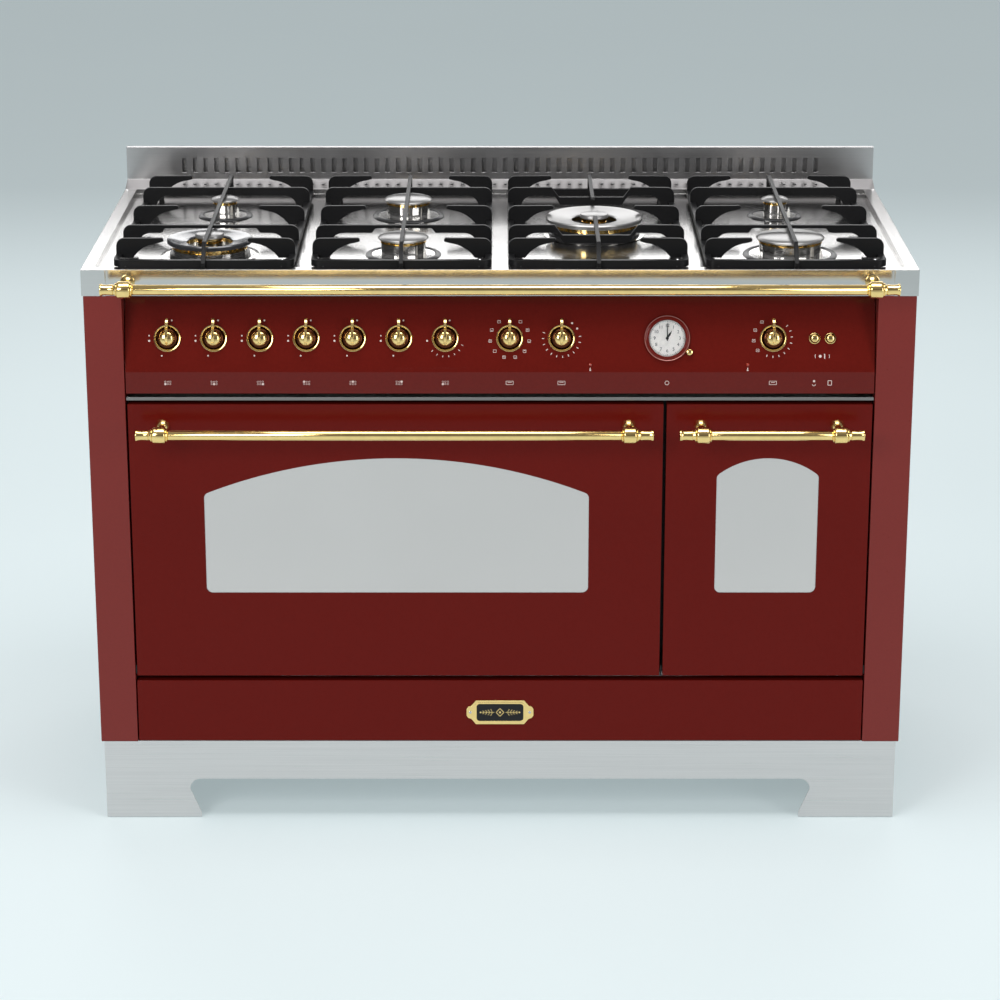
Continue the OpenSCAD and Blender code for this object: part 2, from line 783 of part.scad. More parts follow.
// a straight piece of tube between two points that differ along one axis
module tube(a, b) {
    d = b - a;
    l = norm(d);
    translate(a) rotate(d[0] != 0 ? [0, d[0] > 0 ? 90 : -90, 0]
                        : d[1] != 0 ? [d[1] > 0 ? -90 : 90, 0, 0] : [0, d[2] > 0 ? 0 : 180, 0])
        cylinder(h = l, r = tube_r);
}
module tube_run(points) {
    for (i = [0:len(points) - 2]) tube(points[i], points[i + 1]);
    for (i = [1:len(points) - 2]) translate(points[i]) sphere(r = tube_r);
}

module gas_pipes() {
    outlet_y = panel_setback + control_up * sin(panel_tilt)
               + tap_outlet_depth * cos(panel_tilt);
    tap_z = face_z + control_up * cos(panel_tilt) - tap_outlet_depth * sin(panel_tilt) + 26;
    // burner served by each tap, from the left
    served = [1, 0, 3, 2, 4, 5, 6];
    low_z = tap_z + 12;
    cross_z = low_z + 13;
    high_z = cross_z + 11;
    end_z = tray_z - cup_depth - rest_gap;
    inlet_y = body_depth - back_recess + inner_sheet + 1;
    color(gold) from_front() {
        rod_x(control_x(0) - 20, inlet_x, manifold_y(), manifold_z(), manifold_r);
        translate([inlet_x, manifold_y(), manifold_z()]) sphere(r = manifold_r);
        rod_y(inlet_x, manifold_y(), inlet_y + 1, manifold_z(), manifold_r);
        rod_y(inlet_x, inlet_y, body_depth - 4, manifold_z(), inlet_r);
        for (i = [0:len(served) - 1]) {
            b = BURNERS[served[i]];
            x = control_x(i);
            lane = (b[1] > row_mid ? row_a + 30 : row_first + 62) + i * 9;
            tube_run([
                [x, outlet_y, tap_z], [x, outlet_y, low_z], [x, lane, low_z],
                [x, lane, cross_z], [grate_x(b[0]), lane, cross_z],
                [grate_x(b[0]), lane, high_z], [grate_x(b[0]), b[1], high_z],
                [grate_x(b[0]), b[1], end_z]
            ]);
        }
    }
}

module taps_and_switches() {
    bore_r = spindle_r + running_gap;
    box_half = 20;
    color(gold) from_front() {
        for (step = burner_knob_steps) difference() {
            union() {
                on_face(control_x(step), control_up) translate([0, 0, -tap_back])
                    cylinder(h = tap_back - tap_front, r = tap_r);
                on_tap_outlet(step) cylinder(h = 26 - rest_gap, r = 5);
            }
            on_face(control_x(step), control_up) translate([0, 0, -46])
                cylinder(h = 30, r = bore_r);
        }
        for (step = oven_knob_steps)
            on_face(control_x(step), control_up) difference() {
                translate([-box_half, -box_half, -60])
                    cube([2 * box_half, 2 * box_half, 60 - tap_front]);
                translate([0, 0, -46]) cylinder(h = 30, r = bore_r);
            }
        for (step = button_steps)
            on_face(control_x(step), control_up)
                translate([-7, -7, -36]) cube([14, 14, 36 - 17 - button_travel - 0.3]);
    }
}
module on_tap_outlet(step) {
    translate([
        control_x(step),
        panel_setback + control_up * sin(panel_tilt) + tap_outlet_depth * cos(panel_tilt),
        face_z + control_up * cos(panel_tilt) - tap_outlet_depth * sin(panel_tilt)
    ]) children();
}

// seat, cup and crown of each burner
module burner_bodies() {
    seat_t = 2;
    crown_wall = 5;
    color("lightgray") from_front() for (b = BURNERS)
        translate([grate_x(b[0]), b[1], tray_z]) {
            cap_r = b[2];
            cup_r = b[4] - 1.5;
            seat_in = b[5] > 0 ? 0 : cap_r - 12;
            rotate_extrude() polygon(concat(
                seat_in > 0
                    ? [[seat_in, 0], [cup_r - 3, 0], [cup_r - 3, -cup_depth + 3], [0, -cup_depth + 3]]
                    : [[0, 0.6], [cup_r - 3, 0.6], [cup_r - 3, -cup_depth + 3], [0, -cup_depth + 3]],
                [[0, -cup_depth], [cup_r, -cup_depth], [cup_r, 0], [b[3], 0], [b[3], 1],
                 [b[3] - 2, seat_t], [seat_in, seat_t]]
            ));
            low = seat_t + rest_gap;
            top = cap_top - b[6] - cap_t - rest_gap;
            crown(cap_r - 4, cap_r - 4 - crown_wall, low, top);
            if (b[5] > 0) {
                crown(b[5] + 8, b[5] + 3, low, top);
                crown(inner_cap_r - 3, inner_cap_r - 8, low,
                      cap_top + inner_cap_up - cap_t - rest_gap);
            }
        }
}
module crown(outer, inner, low, top) {
    rotate_extrude() polygon([[inner, low], [outer + 1, low], [outer, low + 3], [outer, top],
                              [inner, top]]);
}

module burner_caps() {
    color(cast_black) from_front() for (b = BURNERS)
        translate([grate_x(b[0]), b[1], tray_z]) rotate_extrude() {
            cap_outline(b[5], b[2], cap_top - b[6]);
            if (b[5] > 0) cap_outline(0, inner_cap_r, cap_top + inner_cap_up);
        }
}
// half section of a cap; a ring cap is dished towards its open middle
module cap_outline(inner, outer, top) {
    edge = 2.5;
    dish = inner > 0 ? 3.5 : 0;
    polygon([[inner, top - cap_t], [outer, top - cap_t], [outer, top - edge],
             [outer - edge, top], [inner, top - dish]]);
}

module igniters() {
    color("white") from_front() for (b = BURNERS) {
        out = b[5] > 0 ? 27.8 : b[2] + 5;
        translate([grate_x(b[0]), b[1], tray_z + 2 + rest_gap])
            rotate([0, 0, -40]) translate([out, 0, 0]) {
                cylinder(h = 12, r = 2.4);
                cylinder(h = 15, r = 0.8);
            }
    }
}

// cast grate: frame, five rows of cross bars or arms, and a spine from front to back
module grate(i) {
    half = grate_w / 2;
    wok = i == 2;
    spine_gap = [wok_y - 46, wok_y + 80];
    color(cast_black) from_front() translate([grate_x(i), 0, 0]) {
        translate([0, 0, frame_low]) linear_extrude(frame_top - frame_low) difference() {
            rounded([-half, grate_front], [half, grate_end], 14);
            rounded([-half + grate_bar_w, grate_front + grate_bar_w],
                    [half - grate_bar_w, grate_end - grate_bar_w], 8);
        }
        for (x = [-half + 20, half - 20], y = [grate_front, grate_end - grate_bar_w])
            translate([x - 5, y, tray_z + 0.05]) cube([10, grate_bar_w, grate_foot_h + 1]);
        for (y = [row_first, row_mid, row_last], side = [0, 1])
            mirror([side, 0, 0]) blade_at(y) arm_outline(half);
        for (side = [0, 1]) mirror([side, 0, 0]) {
            blade_at(row_a) half_bar_outline(half, BAR_ARCHES[i][0], wok ? wok_dip : 0);
            blade_at(row_b) half_bar_outline(half, BAR_ARCHES[i][1], wok ? wok_dip : 0);
        }
        difference() {
            along_x(-grate_blade_t / 2, grate_blade_t / 2) spine_outline();
            if (wok)
                block([-half, spine_gap[0], blade_under - 3],
                      [half, spine_gap[1], grate_top + 1]);
        }
    }
}
module rounded(low, high, r) {
    translate([low[0] + r, low[1]]) square([high[0] - low[0] - 2 * r, high[1] - low[1]]);
    translate([low[0], low[1] + r]) square([high[0] - low[0], high[1] - low[1] - 2 * r]);
    for (x = [low[0] + r, high[0] - r], y = [low[1] + r, high[1] - r])
        translate([x, y]) circle(r = r);
}
module blade_at(y) {
    upright(y - grate_blade_t / 2, grate_blade_t) children();
}
// outer end of a web: up from the frame and round to the grate's top
function web_shoulder(half) =
    concat([[half, frame_top - 6]], arc(half - 12, grate_top - 12, 12, 0, 90, 5));
// arm from the frame's right bar towards the middle
module arm_outline(half) {
    arm_l = 69;
    polygon(concat(
        web_shoulder(half),
        [[half - arm_l, grate_top], [half - arm_l, blade_under]],
        arc(half - 66, grate_top - 57, 50, 84, 33, 6),
        [[half - 23, frame_top - 6]]
    ));
}
// right half of a full bar, arched over a cap or dipped in the middle
module half_bar_outline(half, arch_half, dip) {
    dip_half = 62;
    under = grate_top - grate_bar_h;
    middle_top = dip > 0
        ? [[dip_half, grate_top], [dip_half - 12, grate_top - dip], [0, grate_top - dip]]
        : [[0, grate_top]];
    middle_low = dip > 0
        ? [[0, under - dip], [dip_half - 14, under - dip], [dip_half - 4, under]]
        : [[0, blade_under], [arch_half, blade_under], [arch_half + 6, under]];
    polygon(concat(
        web_shoulder(half), middle_top, middle_low,
        arc(half - 42, under - 22, 22, 90, 10, 6),
        [[half - 20, frame_top - 6]]
    ));
}
module spine_outline() {
    polygon([[grate_front - 6, frame_top - 9], [grate_front - 7, frame_top - 3],
             [grate_front + 21, grate_top], [grate_end - 3, grate_top],
             [grate_end, frame_top], [grate_end, frame_top - 6],
             [grate_end - 9, frame_top - 6], [grate_end - 16, blade_under],
             [grate_front + 24, blade_under], [grate_front + 10, frame_top + 1],
             [grate_front + 9, frame_top - 9]]);
}
module grate_1() { grate(0); }
module grate_2() { grate(1); }
module grate_3() { grate(2); }
module grate_4() { grate(3); }

// ---- ovens ----

module oven_box(span) {
    t = inner_sheet;
    difference() {
        block([span[0] - t, oven_y0, oven_z0 - t], [span[1] + t, oven_y1 + t, oven_z1 + t]);
        block([span[0], oven_y0 - 1, oven_z0], [span[1], oven_y1, oven_z1]);
        children();
    }
}
// side ribs that carry a rack whose underside is at z
module rack_ribs(span, z) {
    for (x = [span[0], span[1] - 8])
        block([x, oven_y0 + 10, z - 4], [x + 8, rack_back + 4, z]);
}

module large_oven_cavity() {
    holes = 12;
    color(dark_enamel) from_front() {
        oven_box(large_oven) rod_y(fan_x, oven_y1 - 1, oven_y1 + 3, fan_z, spindle_r + 2);
        for (z = large_rack_z) rack_ribs(large_oven, z);
        difference() {
            block([fan_x - cover_half, cover_y, fan_z - cover_half],
                  [fan_x + cover_half, oven_y1 + eps, fan_z + cover_half]);
            block([fan_x - cover_half + 1, cover_y + 1, fan_z - cover_half + 1],
                  [fan_x + cover_half - 1, oven_y1 + 1, fan_z + cover_half - 1]);
            for (i = [0:holes - 1], ring = [0.4, 0.7])
                rod_y(fan_x + fan_r * ring * cos(i * 360 / holes), cover_y - 1, cover_y + 3,
                      fan_z + fan_r * ring * sin(i * 360 / holes), 4.5);
        }
    }
}

module small_oven_cavity() {
    color(dark_enamel) from_front() {
        oven_box(small_oven);
        rack_ribs(small_oven, small_rack_z);
    }
}

module rack(span, z) {
    x0 = span[0] + 4;
    x1 = span[1] - 4;
    bars = floor((x1 - x0) / rack_pitch);
    step = (x1 - x0 - rack_rod) / bars;
    translate([0, 0, z + rest_gap]) {
        for (x = [x0, x1 - rack_rod])
            block([x, rack_front, 0], [x + rack_rod, rack_back, rack_rod]);
        for (y = [rack_front, (rack_front + rack_back) / 2, rack_back - rack_rod])
            block([x0, y, 0], [x1, y + rack_rod, rack_rod]);
        for (i = [1:bars - 1])
            block([x0 + i * step, rack_front, rack_rod - 1],
                  [x0 + i * step + 3, rack_back, rack_rod + 1]);
    }
}
module oven_racks() {
    color(stainless) from_front() {
        for (z = large_rack_z) rack(large_oven, z);
        rack(small_oven, small_rack_z);
    }
}

// a grill element that winds to and fro under the roof
module element(x, runs, bend_r) {
    r = 3.5;
    y0 = rack_front + bend_r + 10;
    y1 = oven_y1 - bend_r - 12;
    for (i = [0:runs - 1])
        rod_y(x + (i - (runs - 1) / 2) * 2 * bend_r, y0,
              (i == 0 || i == runs - 1) ? oven_y1 - 0.2 : y1, oven_z1 - 14, r);
    for (i = [0:runs - 2])
        translate([x + (i - (runs - 2) / 2) * 2 * bend_r, i % 2 == 0 ? y0 : y1, oven_z1 - 14])
            rotate([0, 0, i % 2 == 0 ? 180 : 0])
                rotate_extrude(angle = 180) translate([bend_r, 0]) circle(r = r);
}
module oven_elements() {
    color(dark_enamel) from_front() {
        element(fan_x, 4, 55);
        element((small_oven[0] + small_oven[1]) / 2, 2, 55);
    }
}

module oven_fan() {
    blades = 8;
    color(stainless) from_front() translate([fan_x, 0, fan_z]) {
        rod_y(0, cover_y + 6, oven_y1 + 24, 0, spindle_r);
        rod_y(0, cover_y + 6, cover_y + 20, 0, 12);
        rod_y(0, cover_y + 18, cover_y + 19, 0, fan_r);
        for (i = [0:blades - 1]) rotate([0, i * 360 / blades, 0])
            block([fan_r * 0.45, cover_y + 6, -0.6], [fan_r, cover_y + 18.5, 0.6]);
    }
}

module fan_motor() {
    plate_half = 45;
    color(galvanised) from_front() translate([fan_x, 0, fan_z]) difference() {
        union() {
            block([-plate_half, oven_y1 + inner_sheet, -plate_half],
                  [plate_half, oven_y1 + inner_sheet + 2, plate_half]);
            rod_y(0, oven_y1 + inner_sheet, oven_y1 + 45, 0, 34);
        }
        rod_y(0, oven_y1 - 1, oven_y1 + 28, 0, spindle_r + running_gap);
    }
}

// ---- drawer ----

drawer_half = open_half - drawer_side_gap;
box_half = open_half - drawer_box_gap;
box_z0 = drawer_z + 7.5;
box_z1 = drawer_z + drawer_h - 12;
box_y1 = oven_y1 - 20;
slide_z = (box_z0 + box_z1) / 2;

module drawer_front() {
    t = panel_sheet;
    color(enamel) from_front() difference() {
        block([-drawer_half, 0, drawer_z], [drawer_half, drawer_front_t, drawer_z + drawer_h]);
        block([-drawer_half + t, t, drawer_z + t],
              [drawer_half - t, drawer_front_t + 1, drawer_z + drawer_h - t]);
    }
}

module drawer_box() {
    t = inner_sheet;
    y0 = drawer_front_t + rest_gap;
    color(galvanised) from_front() {
        difference() {
            block([-box_half, y0, box_z0], [box_half, box_y1, box_z1]);
            block([-box_half + t, y0 + t, box_z0 + t], [box_half - t, box_y1 - t, box_z1 + 1]);
        }
        for (side = [0, 1]) mirror([side, 0, 0])
            block([box_half - eps, frame_setback + 12, slide_z - 7],
                  [box_half + 14, box_y1, slide_z + 7]);
    }
}

module drawer_runners() {
    t = panel_sheet;
    out = box_half + 18;
    color(stainless) from_front() for (side = [0, 1]) mirror([side, 0, 0]) {
        block([out - t, frame_setback + 6, slide_z - 10], [out, box_y1 + 12, slide_z + 10]);
        for (z = [slide_z - 10, slide_z + 10 - t])
            block([box_half + 4, frame_setback + 6, z], [out, box_y1 + 12, z + t]);
        for (y = [frame_setback + 40, box_y1 - 60])
            block([out - t, y, base_z], [out, y + 30, slide_z]);
    }
}

// badge plate: rounded brass frame with an ear at each end and a plain black inlay
module drawer_badge() {
    z = drawer_z + drawer_h / 2 - 2;
    t = 2.5;
    color(gold) from_front() upright(-t, t) translate([0, z]) {
        rounded([-badge_w / 2, -badge_h / 2], [badge_w / 2, badge_h / 2], 6);
        for (side = [-1, 1]) translate([side * badge_w / 2, 0]) circle(r = 8);
    }
}

// ---- doors ----

function door_mid(span) = (span[0] + span[1]) / 2;
function window_half(span, margin) = (span[1] - span[0]) / 2 - margin;

module door_panel(span, margin, rise) {
    t = panel_sheet;
    color(enamel) from_front() difference() {
        union() {
            difference() {
                block([span[0], 0, door_z], [span[1], door_fold, door_top]);
                block([span[0] + t, t, door_z + t], [span[1] - t, door_fold + 1, door_top - t]);
            }
            for (x = [span[0] + t - eps, span[1] - t - hinge_boss_l])
                rod_x(x, x + hinge_boss_l + eps, hinge_in, hinge_z, hinge_boss_r);
        }
        upright(-1, t + 2) translate([door_mid(span), 0])
            polygon(arched(window_half(span, margin), door_z + window_bottom,
                           door_top - window_top, rise, window_corner_r));
        rod_x(span[0] - 1, span[0] + hinge_boss_l, hinge_in, hinge_z,
              hinge_pin_r + running_gap);
        rod_x(span[1] - hinge_boss_l, span[1] + 1, hinge_in, hinge_z,
              hinge_pin_r + running_gap);
    }
}

module door_window(span, margin, rise) {
    half = window_half(span, margin);
    low = door_z + window_bottom;
    high = door_top - window_top;
    color([0.75, 0.73, 0.72]) from_front() translate([door_mid(span), 0, 0]) {
        upright(panel_sheet + 0.2, pane_t) polygon(
            arched(half + pane_lap, low - pane_lap, high + pane_lap, rise, window_corner_r + 3));
        block([-half - pane_lap, door_t - inner_sheet - 0.2 - pane_t, low - pane_lap],
              [half + pane_lap, door_t - inner_sheet - 0.2, high + pane_lap]);
    }
}

module door_liner(span, margin) {
    inset = 5;
    t = inner_sheet;
    y0 = door_fold + 0.2;
    half = window_half(span, margin);
    color(galvanised) from_front() difference() {
        block([span[0] + inset, y0, door_z + inset], [span[1] - inset, door_t, door_top - inset]);
        block([span[0] + inset + t, y0 - 1, door_z + inset + t],
              [span[1] - inset - t, door_t - t, door_top - inset - t]);
        translate([door_mid(span), 0, 0])
            block([-half, door_t - t - 1, door_z + window_bottom],
                  [half, door_t + 1, door_top - window_top]);
    }
}

module door_handle(span) {
    rail(span[0] + handle_margin, span[1] - handle_margin, door_top - handle_drop, 0);
}

module large_door_panel() { door_panel(large_door, large_window_margin, large_arch_rise); }
module large_door_window() { door_window(large_door, large_window_margin, large_arch_rise); }
module large_door_liner() { door_liner(large_door, large_window_margin); }
module large_door_handle() { door_handle(large_door); }
module small_door_panel() { door_panel(small_door, small_window_margin, small_arch_rise); }
module small_door_window() { door_window(small_door, small_window_margin, small_arch_rise); }
module small_door_liner() { door_liner(small_door, small_window_margin); }
module small_door_handle() { door_handle(small_door); }

// hinge plates in the gaps beside the doors, with pins into the doors' bosses
module door_hinges() {
    plate_t = 1.8;
    reach = hinge_boss_l - 3;
    mid_x = (large_door[1] + small_door[0]) / 2;
    color(stainless) from_front() {
        for (side = [0, 1]) mirror([side, 0, 0]) {
            edge = open_half - door_side_gap;
            hinge_plate(edge + 0.7, plate_t);
            rod_x(edge - reach, edge + 1, hinge_in, hinge_z, hinge_pin_r);
        }
        hinge_plate(mid_x - plate_t / 2, plate_t);
        rod_x(large_door[1] - reach, small_door[0] + reach, hinge_in, hinge_z, hinge_pin_r);
    }
}
module hinge_plate(x, t) {
    block([x, hinge_in - 5, hinge_z - 6], [x + t, frame_setback, hinge_z + 7]);
}

side_panel_left();
side_panel_right();
back_panel();
base_pan();
plinth();
leveling_feet();
hob_top();
rear_upstand();
front_frame();
control_panel();
vent_strip();
top_rail();
knob_bezels();
clock_case();
clock_dial();
clock_glass();
indicator_lamps();
gas_pipes();
taps_and_switches();
burner_bodies();
burner_caps();
igniters();
large_oven_cavity();
small_oven_cavity();
oven_racks();
oven_elements();
fan_motor();
drawer_runners();
door_hinges();
hour_hand();
minute_hand();
clock_button();
button_left();
button_right();
oven_fan();
grate_1();
grate_2();
grate_3();
grate_4();
knob_burner_1();
knob_burner_2();
knob_burner_3();
knob_burner_4();
knob_burner_5();
knob_burner_6();
knob_burner_7();
knob_oven_mode();
knob_oven_heat();
knob_small_oven();
large_door_panel();
large_door_window();
large_door_liner();
large_door_handle();
small_door_panel();
small_door_window();
small_door_liner();
small_door_handle();
drawer_front();
drawer_box();
drawer_badge();
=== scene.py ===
import json
import math

import bmesh
import bpy
from mathutils import Matrix, Vector


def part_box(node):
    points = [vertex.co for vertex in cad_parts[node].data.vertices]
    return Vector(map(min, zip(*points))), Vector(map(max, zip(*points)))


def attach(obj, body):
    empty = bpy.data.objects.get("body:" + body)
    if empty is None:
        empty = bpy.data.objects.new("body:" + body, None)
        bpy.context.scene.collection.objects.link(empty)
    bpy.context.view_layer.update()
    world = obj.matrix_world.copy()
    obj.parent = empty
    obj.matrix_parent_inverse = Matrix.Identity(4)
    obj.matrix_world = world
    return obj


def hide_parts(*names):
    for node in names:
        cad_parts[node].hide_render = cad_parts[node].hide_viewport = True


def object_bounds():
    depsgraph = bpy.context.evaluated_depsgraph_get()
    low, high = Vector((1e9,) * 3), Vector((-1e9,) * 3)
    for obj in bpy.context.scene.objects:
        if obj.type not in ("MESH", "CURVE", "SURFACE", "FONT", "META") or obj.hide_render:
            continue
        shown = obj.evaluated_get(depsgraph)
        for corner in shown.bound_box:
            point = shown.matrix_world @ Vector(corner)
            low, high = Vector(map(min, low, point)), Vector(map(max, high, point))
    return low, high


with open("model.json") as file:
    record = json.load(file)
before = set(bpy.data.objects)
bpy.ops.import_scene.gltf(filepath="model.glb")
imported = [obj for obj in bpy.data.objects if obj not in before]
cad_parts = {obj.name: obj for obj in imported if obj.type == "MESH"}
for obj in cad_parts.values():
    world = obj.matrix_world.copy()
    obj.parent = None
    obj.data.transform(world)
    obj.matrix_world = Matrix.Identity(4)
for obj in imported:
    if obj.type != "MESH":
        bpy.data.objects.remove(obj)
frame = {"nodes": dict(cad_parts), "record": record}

cad_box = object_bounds()

# ---- Side panels ----
# Two steel sheets, each folded round the front as a narrow pillar and fired with burgundy
# enamel. The enamel is glassy, with a faint orange-peel ripple and a slow drift in tone.


def coated(name, colour, rough, metal=0.0, grain=(60, 60, 60), drift=0.1, ripple=0.03,
           spread=0.2, coat=0.0, shine=0.5, soft=0.0):
    """A material whose tone, gloss and surface all follow one grain, in cells a metre."""
    skin = bpy.data.materials.new(name)
    skin.use_nodes = True
    tree = skin.node_tree
    shader = tree.nodes["Principled BSDF"]
    shader.inputs["Metallic"].default_value = metal
    shader.inputs["Coat Weight"].default_value = coat
    shader.inputs["Coat Roughness"].default_value = 0.06
    shader.inputs["Specular IOR Level"].default_value = shine
    place = tree.nodes.new("ShaderNodeTexCoord")
    stretch = tree.nodes.new("ShaderNodeMapping")
    stretch.inputs["Scale"].default_value = grain
    noise = tree.nodes.new("ShaderNodeTexNoise")
    noise.inputs["Scale"].default_value = 1.0
    noise.inputs["Detail"].default_value = 5.0
    tree.links.new(place.outputs["Object"], stretch.inputs["Vector"])
    tree.links.new(stretch.outputs["Vector"], noise.inputs["Vector"])
    tone = tree.nodes.new("ShaderNodeValToRGB")
    tone.color_ramp.elements[0].position = 0.3
    tone.color_ramp.elements[1].position = 0.7
    tone.color_ramp.elements[0].color = [c * (1 - drift) for c in colour] + [1]
    tone.color_ramp.elements[1].color = [min(1, c * (1 + drift)) for c in colour] + [1]
    tree.links.new(noise.outputs["Fac"], tone.inputs["Fac"])
    tree.links.new(tone.outputs["Color"], shader.inputs["Base Color"])
    gloss = tree.nodes.new("ShaderNodeMapRange")
    gloss.inputs["To Min"].default_value = rough * (1 - spread)
    gloss.inputs["To Max"].default_value = rough * (1 + spread)
    tree.links.new(noise.outputs["Fac"], gloss.inputs["Value"])
    tree.links.new(gloss.outputs["Result"], shader.inputs["Roughness"])
    bump = tree.nodes.new("ShaderNodeBump")
    bump.inputs["Strength"].default_value = ripple
    bump.inputs["Distance"].default_value = 0.001
    tree.links.new(noise.outputs["Fac"], bump.inputs["Height"])
    tree.links.new(bump.outputs["Normal"], shader.inputs["Normal"])
    if soft:
        rounding = tree.nodes.new("ShaderNodeBevel")
        rounding.samples = 4
        rounding.inputs["Radius"].default_value = soft
        tree.links.new(rounding.outputs["Normal"], bump.inputs["Normal"])
    return skin


def break_edges(part, width, degrees):
    """Rounds each edge that turns through more than so many degrees."""
    bevel = part.modifiers.new("broken edge", "BEVEL")
    bevel.width = width
    bevel.segments = 2
    bevel.angle_limit = math.radians(degrees)
    bevel.harden_normals = True


def dress(node, skin, edge=0.0):
    """A part that keeps its built shape gets its finish and softly broken edges."""
    part = frame["nodes"][node]
    part.data.materials.clear()
    part.data.materials.append(skin)
    if edge:
        weld = part.modifiers.new("one skin", "WELD")
        weld.merge_threshold = 1e-5
        break_edges(part, edge, 50)


# Painted sheen: the pillars' enamel is painted lighter than the same burgundy enamel on the
# doors and face, standing in for the light its surface reflects.
pillar_enamel = coated("pillar_enamel", (0.18, 0.018, 0.014), 0.3, grain=(260, 260, 260),
                       drift=0.04, ripple=0.04, shine=0.3)
for node in ("side_panel_left", "side_panel_right"):
    dress(node, pillar_enamel, 0.0012)

# ---- Back panel, base pan and front frame ----
# The back panel, base pan and drawer runners are zinc-coated sheet with its spangle, a
# patchwork of pale crystals, and pan-head screws hold the back panel. The front frame and the
# door hinges are black enamelled.


def spangled(name, colour, rough, cells):
    """Zinc-coated steel, with so many crystals a metre."""
    skin = coated(name, colour, rough, metal=1.0, grain=(30, 30, 30), drift=0.1)
    tree = skin.node_tree
    crystals = tree.nodes.new("ShaderNodeTexVoronoi")
    crystals.inputs["Scale"].default_value = cells
    place = tree.nodes["Texture Coordinate"]
    tree.links.new(place.outputs["Object"], crystals.inputs["Vector"])
    tone = tree.nodes.new("ShaderNodeValToRGB")
    tone.color_ramp.elements[0].color = [c * 0.75 for c in colour] + [1]
    tone.color_ramp.elements[1].color = [min(1, c * 1.2) for c in colour] + [1]
    tree.links.new(crystals.outputs["Color"], tone.inputs["Fac"])
    tree.links.new(tone.outputs["Color"], tree.nodes["Principled BSDF"].inputs["Base Color"])
    return skin


zinc = spangled("zinc_steel", (0.5, 0.52, 0.54), 0.38, 90)
dress("back_panel", zinc)
for node in ("base_pan", "drawer_runners"):
    dress(node, zinc, 0.0004)
frame_black = coated("frame_enamel", (0.012, 0.011, 0.011), 0.4, grain=(300, 300, 300),
                     shine=0.3)
for node in ("front_frame", "door_hinges"):
    dress(node, frame_black, 0.0006)


def turned(bm, profile, place, steps=48, ring=False, skin=0):
    """A turned solid about the local Z axis; profile is a list of (radius, height)."""
    loops = []
    for radius, height in profile:
        if radius < 1e-7:
            loops.append([bm.verts.new(place @ Vector((0, 0, height)))])
            continue
        loops.append([bm.verts.new(place @ Vector((
            radius * math.cos(2 * math.pi * k / steps),
            radius * math.sin(2 * math.pi * k / steps), height))) for k in range(steps)])
    pairs = list(zip(loops, loops[1:]))
    if ring:
        pairs.append((loops[-1], loops[0]))
    for low, high in pairs:
        for k in range(steps):
            n = (k + 1) % steps
            corners = [low[k % len(low)], low[n % len(low)],
                       high[n % len(high)], high[k % len(high)]]
            corners = [v for i, v in enumerate(corners) if v not in corners[:i]]
            if len(corners) > 2:
                bm.faces.new(corners).material_index = skin


def piece(name, bm, skins, body, stands_for=(), edge=0.0):
    """Turns a finished bmesh into a piece that rides on a body."""
    bmesh.ops.recalc_face_normals(bm, faces=bm.faces)
    mesh = bpy.data.meshes.new(name)
    bm.to_mesh(mesh)
    bm.free()
    for skin in skins:
        mesh.materials.append(skin)
    mesh.shade_smooth()
    mesh.set_sharp_from_angle(angle=math.radians(38))
    made = bpy.data.objects.new(name, mesh)
    bpy.context.scene.collection.objects.link(made)
    if edge:
        break_edges(made, edge, 40)
    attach(made, body)
    if stands_for:
        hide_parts(*stands_for)


def facing(spot, out):
    """A place at spot whose Z points out."""
    return Matrix.Translation(spot) @ Vector(out).to_track_quat("Z", "Y").to_matrix().to_4x4()


sheet, screw_margin, floor_margin = 0.0012, 0.012, 0.03
screw_head = [(0, 0), (0.004, 0), (0.004, 0.0008), (0.0032, 0.0019), (0.0018, 0.0024),
              (0.0012, 0.0018), (0, 0.0016)]
low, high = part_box("back_panel")
screws = bmesh.new()
back_y = low.y + sheet
for x in (low.x + screw_margin, high.x - screw_margin):
    for k in range(7):
        z = low.z + floor_margin + k * (high.z - low.z - 2 * floor_margin) / 6
        spot = (x, back_y, z)
        turned(screws, screw_head, facing(spot, (0, 1, 0)), 16)
for k in range(1, 8):
    for z in (low.z + screw_margin, high.z - screw_margin):
        spot = (low.x + k * (high.x - low.x) / 8, back_y, z)
        turned(screws, screw_head, facing(spot, (0, 1, 0)), 16)
piece("back_screws", screws, [zinc], "cabinet")

# ---- Plinth and levelling feet ----
# The plinth is one folded band of brushed stainless steel cut into bracket feet, its grain
# running along the band. Nylon pads on steel stems carry the weight behind it.


def brushed(name, colour, rough, grain):
    """Bare metal with the fine lines of an abrasive belt."""
    return coated(name, colour, rough, metal=1.0, grain=grain, drift=0.05, ripple=0.06,
                  spread=0.22)


steel_across = brushed("brushed_steel_across", (0.66, 0.64, 0.635), 0.3, (5, 900, 900))
dress("plinth", steel_across, 0.0006)
black_plastic = coated("black_plastic", (0.02, 0.02, 0.021), 0.5, grain=(400, 400, 400),
                       ripple=0.15)
dress("leveling_feet", black_plastic, 0.0008)

# ---- Hob and upstand ----
# A pressed stainless tray with a raised rim, welded to a front band with plain end blocks.
# The slotted upstand at the back lets the ovens' hot air out.

hob_steel = coated("hob_steel", (0.64, 0.63, 0.62), 0.16, metal=1.0, grain=(5, 800, 800),
                   drift=0.04, ripple=0.02, soft=0.0012)
dress("hob_top", hob_steel)
dress("rear_upstand", coated("upstand_steel", (0.52, 0.51, 0.51), 0.3, metal=1.0,
                             grain=(5, 800, 800), drift=0.04, ripple=0.01, soft=0.0008))
dress("vent_strip", brushed("vent_steel", (0.26, 0.25, 0.245), 0.3, (5, 900, 900)), 0.0004)

# ---- Brass rails and handles ----
# Polished brass tube through two turned ferrules, with flared caps at the ends. Each ferrule
# sits on a post with a collar and a domed foot, screwed from behind.

